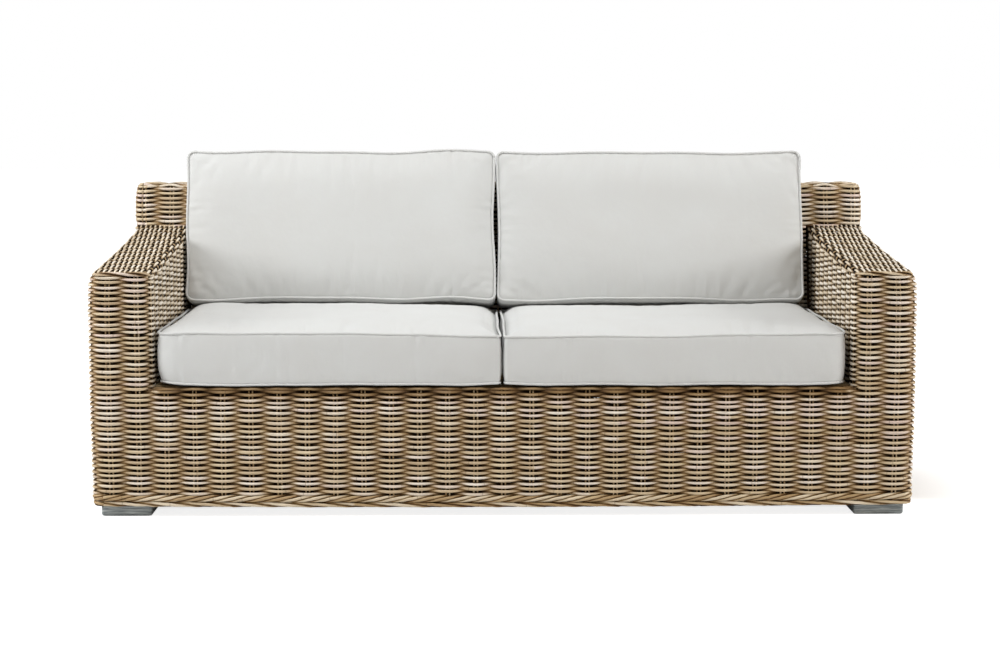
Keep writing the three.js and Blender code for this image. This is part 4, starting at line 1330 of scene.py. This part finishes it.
# %% Weave the tops
def section_line(half, drop, radius, low):
    """A round-edged section as offsets across and down, with its outward directions."""
    points, normals = [], []
    for down in np.arange(low, radius, -3.0):
        points.append((-half, -down))
        normals.append((-1, 0))
    for a in np.linspace(0, math.pi / 2, 7):
        points.append((-half + radius * (1 - math.cos(a)), -radius * (1 - math.sin(a))))
        normals.append((-math.cos(a), math.sin(a)))
    points += [(-x, z) for x, z in points[::-1]]
    normals += [(-x, z) for x, z in normals[::-1]]
    points, normals = np.array(points), np.array(normals)
    points[:, 1] -= drop
    return lengths(points), points, normals


def rows_over(section):
    """Evenly spaced places over a section, each with its offsets and its outward direction."""
    distance, points, normals = section
    count = int(distance[-1] / ROW_PITCH)
    for i in range(count + 1):
        s = distance[-1] * i / count
        yield i, along_line(s, points, distance), unit(along_line(s, normals, distance))


def past_bend(across, half):
    """How far a row on a top falls short of the ends of the top, because its corners are round."""
    edge = max(0.0, abs(across) - (half + HALF_THICK - CORNER))
    return CORNER - math.sqrt(max(CORNER**2 - edge**2, 0.0))


def lengthways(marks, first, low, high, row):
    """A row over stakes at marks, from low to high: its phases, places, wave and height."""
    index = first + np.arange(len(marks))
    start, stop = np.interp([low, high], marks, index)
    phase = np.linspace(start, stop, int((stop - start) * SAMPLES) + 1)
    return (phase, np.interp(phase, index, marks), *swing(phase, row))


TUCK = 9.0
arm_half, arm_middle = (X_MID - INNER_MID) / 2, (X_MID + INNER_MID) / 2
arm_marks = np.concatenate([[side_ys[0] - SIDE_PITCH], side_ys])
for side, sign in (("left", -1), ("right", 1)):
    woven["arm_top_" + side] = Canes()
    for i, (across, down), normal in rows_over(section_line(arm_half, HALF_THICK, 13.0, 13.6)):
        y0, y1 = FRONT_MID + past_bend(across, arm_half) + 1, FACE_FOOT + 6
        phase, y, wave, height = lengthways(arm_marks, -1, y0, y1, i)
        front_share = np.clip(1 - (y - y0) / 12.0, 0, 1)
        rear_share = np.clip(1 - (y1 - y) / 14.0, 0, 1)
        # Rows are painted darker where they dip behind the arm's front edge: painted shade.
        relief = (0.5 + 0.5 * wave) * (1 - 0.7 * front_share)
        height = height * (1 - front_share) - TUCK * front_share
        height = height * (1 - rear_share) + 2 * rear_share
        shake = np.interp(phase, np.arange(-2, 15), smooth_noise(17, 0.7))
        x = arm_middle + across + height * normal[0] + shake * normal[1]
        zs = arm_top_z(y) + down + height * normal[1] + 5 * rear_share
        centre = np.column_stack([sign * x, y, zs])
        outward = np.tile([sign * normal[0], 0, normal[1]], (len(y), 1))
        own = own_numbers(phase, i)
        thick = 0.84 * CANE_RADIUS * (1 + dice.normal(0, 0.05))
        woven["arm_top_" + side].lay(centre, outward, thick, own, relief)

back_top = woven["back_top"] = Canes()
face_top = face_y(BACK_HIGH) + HALF_THICK
top_half, top_middle = (BACK_MID - face_top) / 2, (BACK_MID + face_top) / 2
for i, (across, down), normal in rows_over(section_line(top_half, HALF_THICK, 9.0, 10.0)):
    reach = X_MID - past_bend(across, top_half) - 1
    wide = np.concatenate([[-reach - STAKE_PITCH], front_xs, [reach + STAKE_PITCH]])
    phase, x, wave, height = lengthways(wide, 0, -reach, reach, i)
    share = np.clip(1 - (reach - np.abs(x)) / 12.0, 0, 1)
    height = height * (1 - share) - TUCK * share
    shake = np.interp(phase, np.arange(len(wide)), smooth_noise(len(wide), 0.6))
    y = top_middle + across + height * normal[0] + shake * normal[1]
    centre = np.column_stack([x, y, BACK_HIGH + down + height * normal[1]])
    outward = np.tile([0, *normal], (len(x), 1))
    thick = CANE_RADIUS * (1 + dice.normal(0, 0.05))
    back_top.lay(centre, outward, thick, own_numbers(phase, i), 0.5 + 0.5 * wave)
# The stakes under the top are painted dark, as the shade inside the weave.
for x in front_xs:
    for offset in (-STAKE_SPREAD, STAKE_SPREAD):
        ys = np.linspace(face_top - 4, BACK_MID - 4, 4)
        centre = np.column_stack([np.full(4, x + offset), ys, np.full(4, BACK_HIGH - HALF_THICK)])
        back_top.lay(centre, np.tile([0.0, 0, 1], (4, 1)), STAKE_RADIUS, dice.uniform(), 0.42)
print("tops woven")

# %% [markdown]
# Edges are finished with pairs of canes. On the front edge of an arm the two turn round each other
# once every two stakes. On the top of the skirt and round the top of the back they are twined: each
# arches over every second stake, where the other one hides.


# %% Twist the edges
def twist(canes, line, outward, turn, spread, radius, strands, lit_share):
    """Lays canes that wind round a line of points."""
    line, outward = np.asarray(line, float), unit(np.asarray(outward, float))
    s = lengths(line)
    t = np.linspace(0, s[-1], max(3, int(s[-1] / 9.0)) + 1)
    centre, out = along_line(t, line, s), unit(along_line(t, outward, s))
    ahead = unit(np.gradient(centre, axis=0))
    up = np.cross(out, ahead)
    up *= np.where(up[:, 2:3] < 0, -1, 1)
    for n in range(strands):
        angle = 2 * math.pi * (t / turn + n / strands)
        way = out * np.cos(angle)[:, None] + up * np.sin(angle)[:, None]
        lifted = centre + spread * way
        lifted += dice.normal(0, 0.25, lifted.shape)
        # Each cane is painted darker where it turns away into the rope: painted shade.
        relief = lit_share + (1 - lit_share) * np.cos(angle)
        own = own_numbers(t / STAKE_PITCH, n)
        canes.lay(lifted, way, radius * (1 + dice.normal(0, 0.04)), own, relief)


def along_course(course, start, stop, z):
    """A line of points and outward directions along a course, at one height."""
    s = np.linspace(start, stop, max(8, int(abs(stop - start) / 8)))
    plan, out = course.at(s)
    return np.column_stack([plan, np.full(len(s), z)]), np.column_stack([out, np.zeros(len(s))])


edges = Canes()
arm_edge = arm_course(ARM_FRONT_HIGH - 20)
WRAP = FRONT_MID + 24
for ends in ((-INNER_MID, -X_MID), (X_MID, INNER_MID)):
    start, stop = (arm_edge.place_of((x, WRAP)) for x in ends)
    line, out = along_course(arm_edge, start, stop, ARM_FRONT_HIGH - 7.5)
    turned = np.abs(out[:, 0:1]) ** 2
    line[:, :2] += out[:, :2] * (3.0 - 6.0 * turned)
    line[:, 2:] -= 5.0 * turned
    twist(edges, line, out, 2 * STAKE_PITCH, 2.7, 3.5, 2, 0.86)

# The skirt's edge is one twined row. Each of its two canes arches over every second stake.
reach_x = INNER_X + 14
xs = np.arange(-reach_x, reach_x + 1, 8.0)
for cane in (0, 1):
    wave = np.cos(math.pi * (xs / STAKE_PITCH + cane))
    rise = DECK_HIGH - 4.6 + 2.0 * wave + dice.normal(0, 0.3, len(xs))
    centre = np.column_stack([xs, FRONT_MID - 4.6 * wave, rise])
    outward = np.tile([0.0, -1, 0.2], (len(xs), 1))
    # Its two canes are painted dark, as the shade under the cushions' overhang.
    edges.lay(centre, outward, 3.4, own_numbers(xs / STAKE_PITCH, 0), 0.24 + 0.2 * wave)

top_edge = Canes()
rim = block_course(BACK_HIGH)
marks = np.concatenate([rim.stakes, [rim.stakes[0] + rim.length]])
s = np.linspace(marks[0], marks[-1], int(rim.length / 9))
plan, out = rim.at(s)
stake_phase = np.interp(s, marks, np.arange(len(marks)))
turned = np.abs(out[:, 0]) ** 2
for cane in (0, 1):
    angle = math.pi * (stake_phase + cane)
    deep = 1.5 + 3.0 * np.cos(angle) - 3.0 * turned
    arch = BACK_HIGH - 7.6 + 3.0 * np.cos(2 * math.pi * stake_phase) + 1.2 * np.sin(angle)
    arch -= 4.5 * turned
    centre = np.column_stack([plan + out * deep[:, None], arch - 2.0 * cane])
    outward = np.column_stack([out, np.full(len(s), 0.4)])
    # A cane is painted darker where it passes behind the other one: painted shade.
    top_edge.lay(centre, unit(outward), 3.6, own_numbers(stake_phase, cane), 0.6 + 0.4 * np.cos(angle))
print("edges twisted")

# %% [markdown]
# The border round the base is two ropes of cane. Five canes wind round the ends of the stakes and
# rise to the right as they pass in front. Below them three canes wind the other way, and one more
# lies in the groove between.

# %% Wind the base border
border = Canes()
base_low = border_low[2]
# Each rope's height, how far in it lies, the stakes to a turn, its spread, canes and lit share, which
# sets how dark its canes are painted where they turn away, as painted shade.
ropes = ((23.0, 1.0, -2.9, 6.4, 5, 0.46), (13.5, 3.0, 4.0, 1.0, 1, 0.3), (7.4, 0.0, 4.1, 3.3, 3, 0.56))
for height, inward, turn, spread, strands, lit_share in ropes:
    line, out = along_course(base_course, 0, base_course.length, base_low + height)
    line[:, :2] -= out[:, :2] * inward
    twist(border, line, out, turn * STAKE_PITCH, spread, 3.8, strands, lit_share)
print("border wound")

# %% [markdown]
# All canes of a wall become one mesh. Each piece hides the solids of the imported model that it takes
# the place of. Of a wall that is two pieces, only the lower or the upper one hides them.

# %% Make the woven pieces
STANDS_FOR = {"back_lower": ["woven_back"], "back_upper": [], "backrest_upper": ["woven_backrest"]}
STANDS_FOR["backrest_lower"] = []
for name, canes in woven.items():
    # The arms get the paler copy of the cane, as painted light.
    material = lit_pale_rattan if name.startswith("arm_") else rattan
    canes.make("woven_" + name + "_cane", material, STANDS_FOR.get(name, ["woven_" + name]))
top_edge.make("back_top_edge", rattan)
edges.make("arm_and_skirt_edges", rattan)
border.make("base_border_plait", border_rattan, ["border_base"])
for name, canes in stakes.items():
    canes.make("stakes_" + name, stake_rattan)
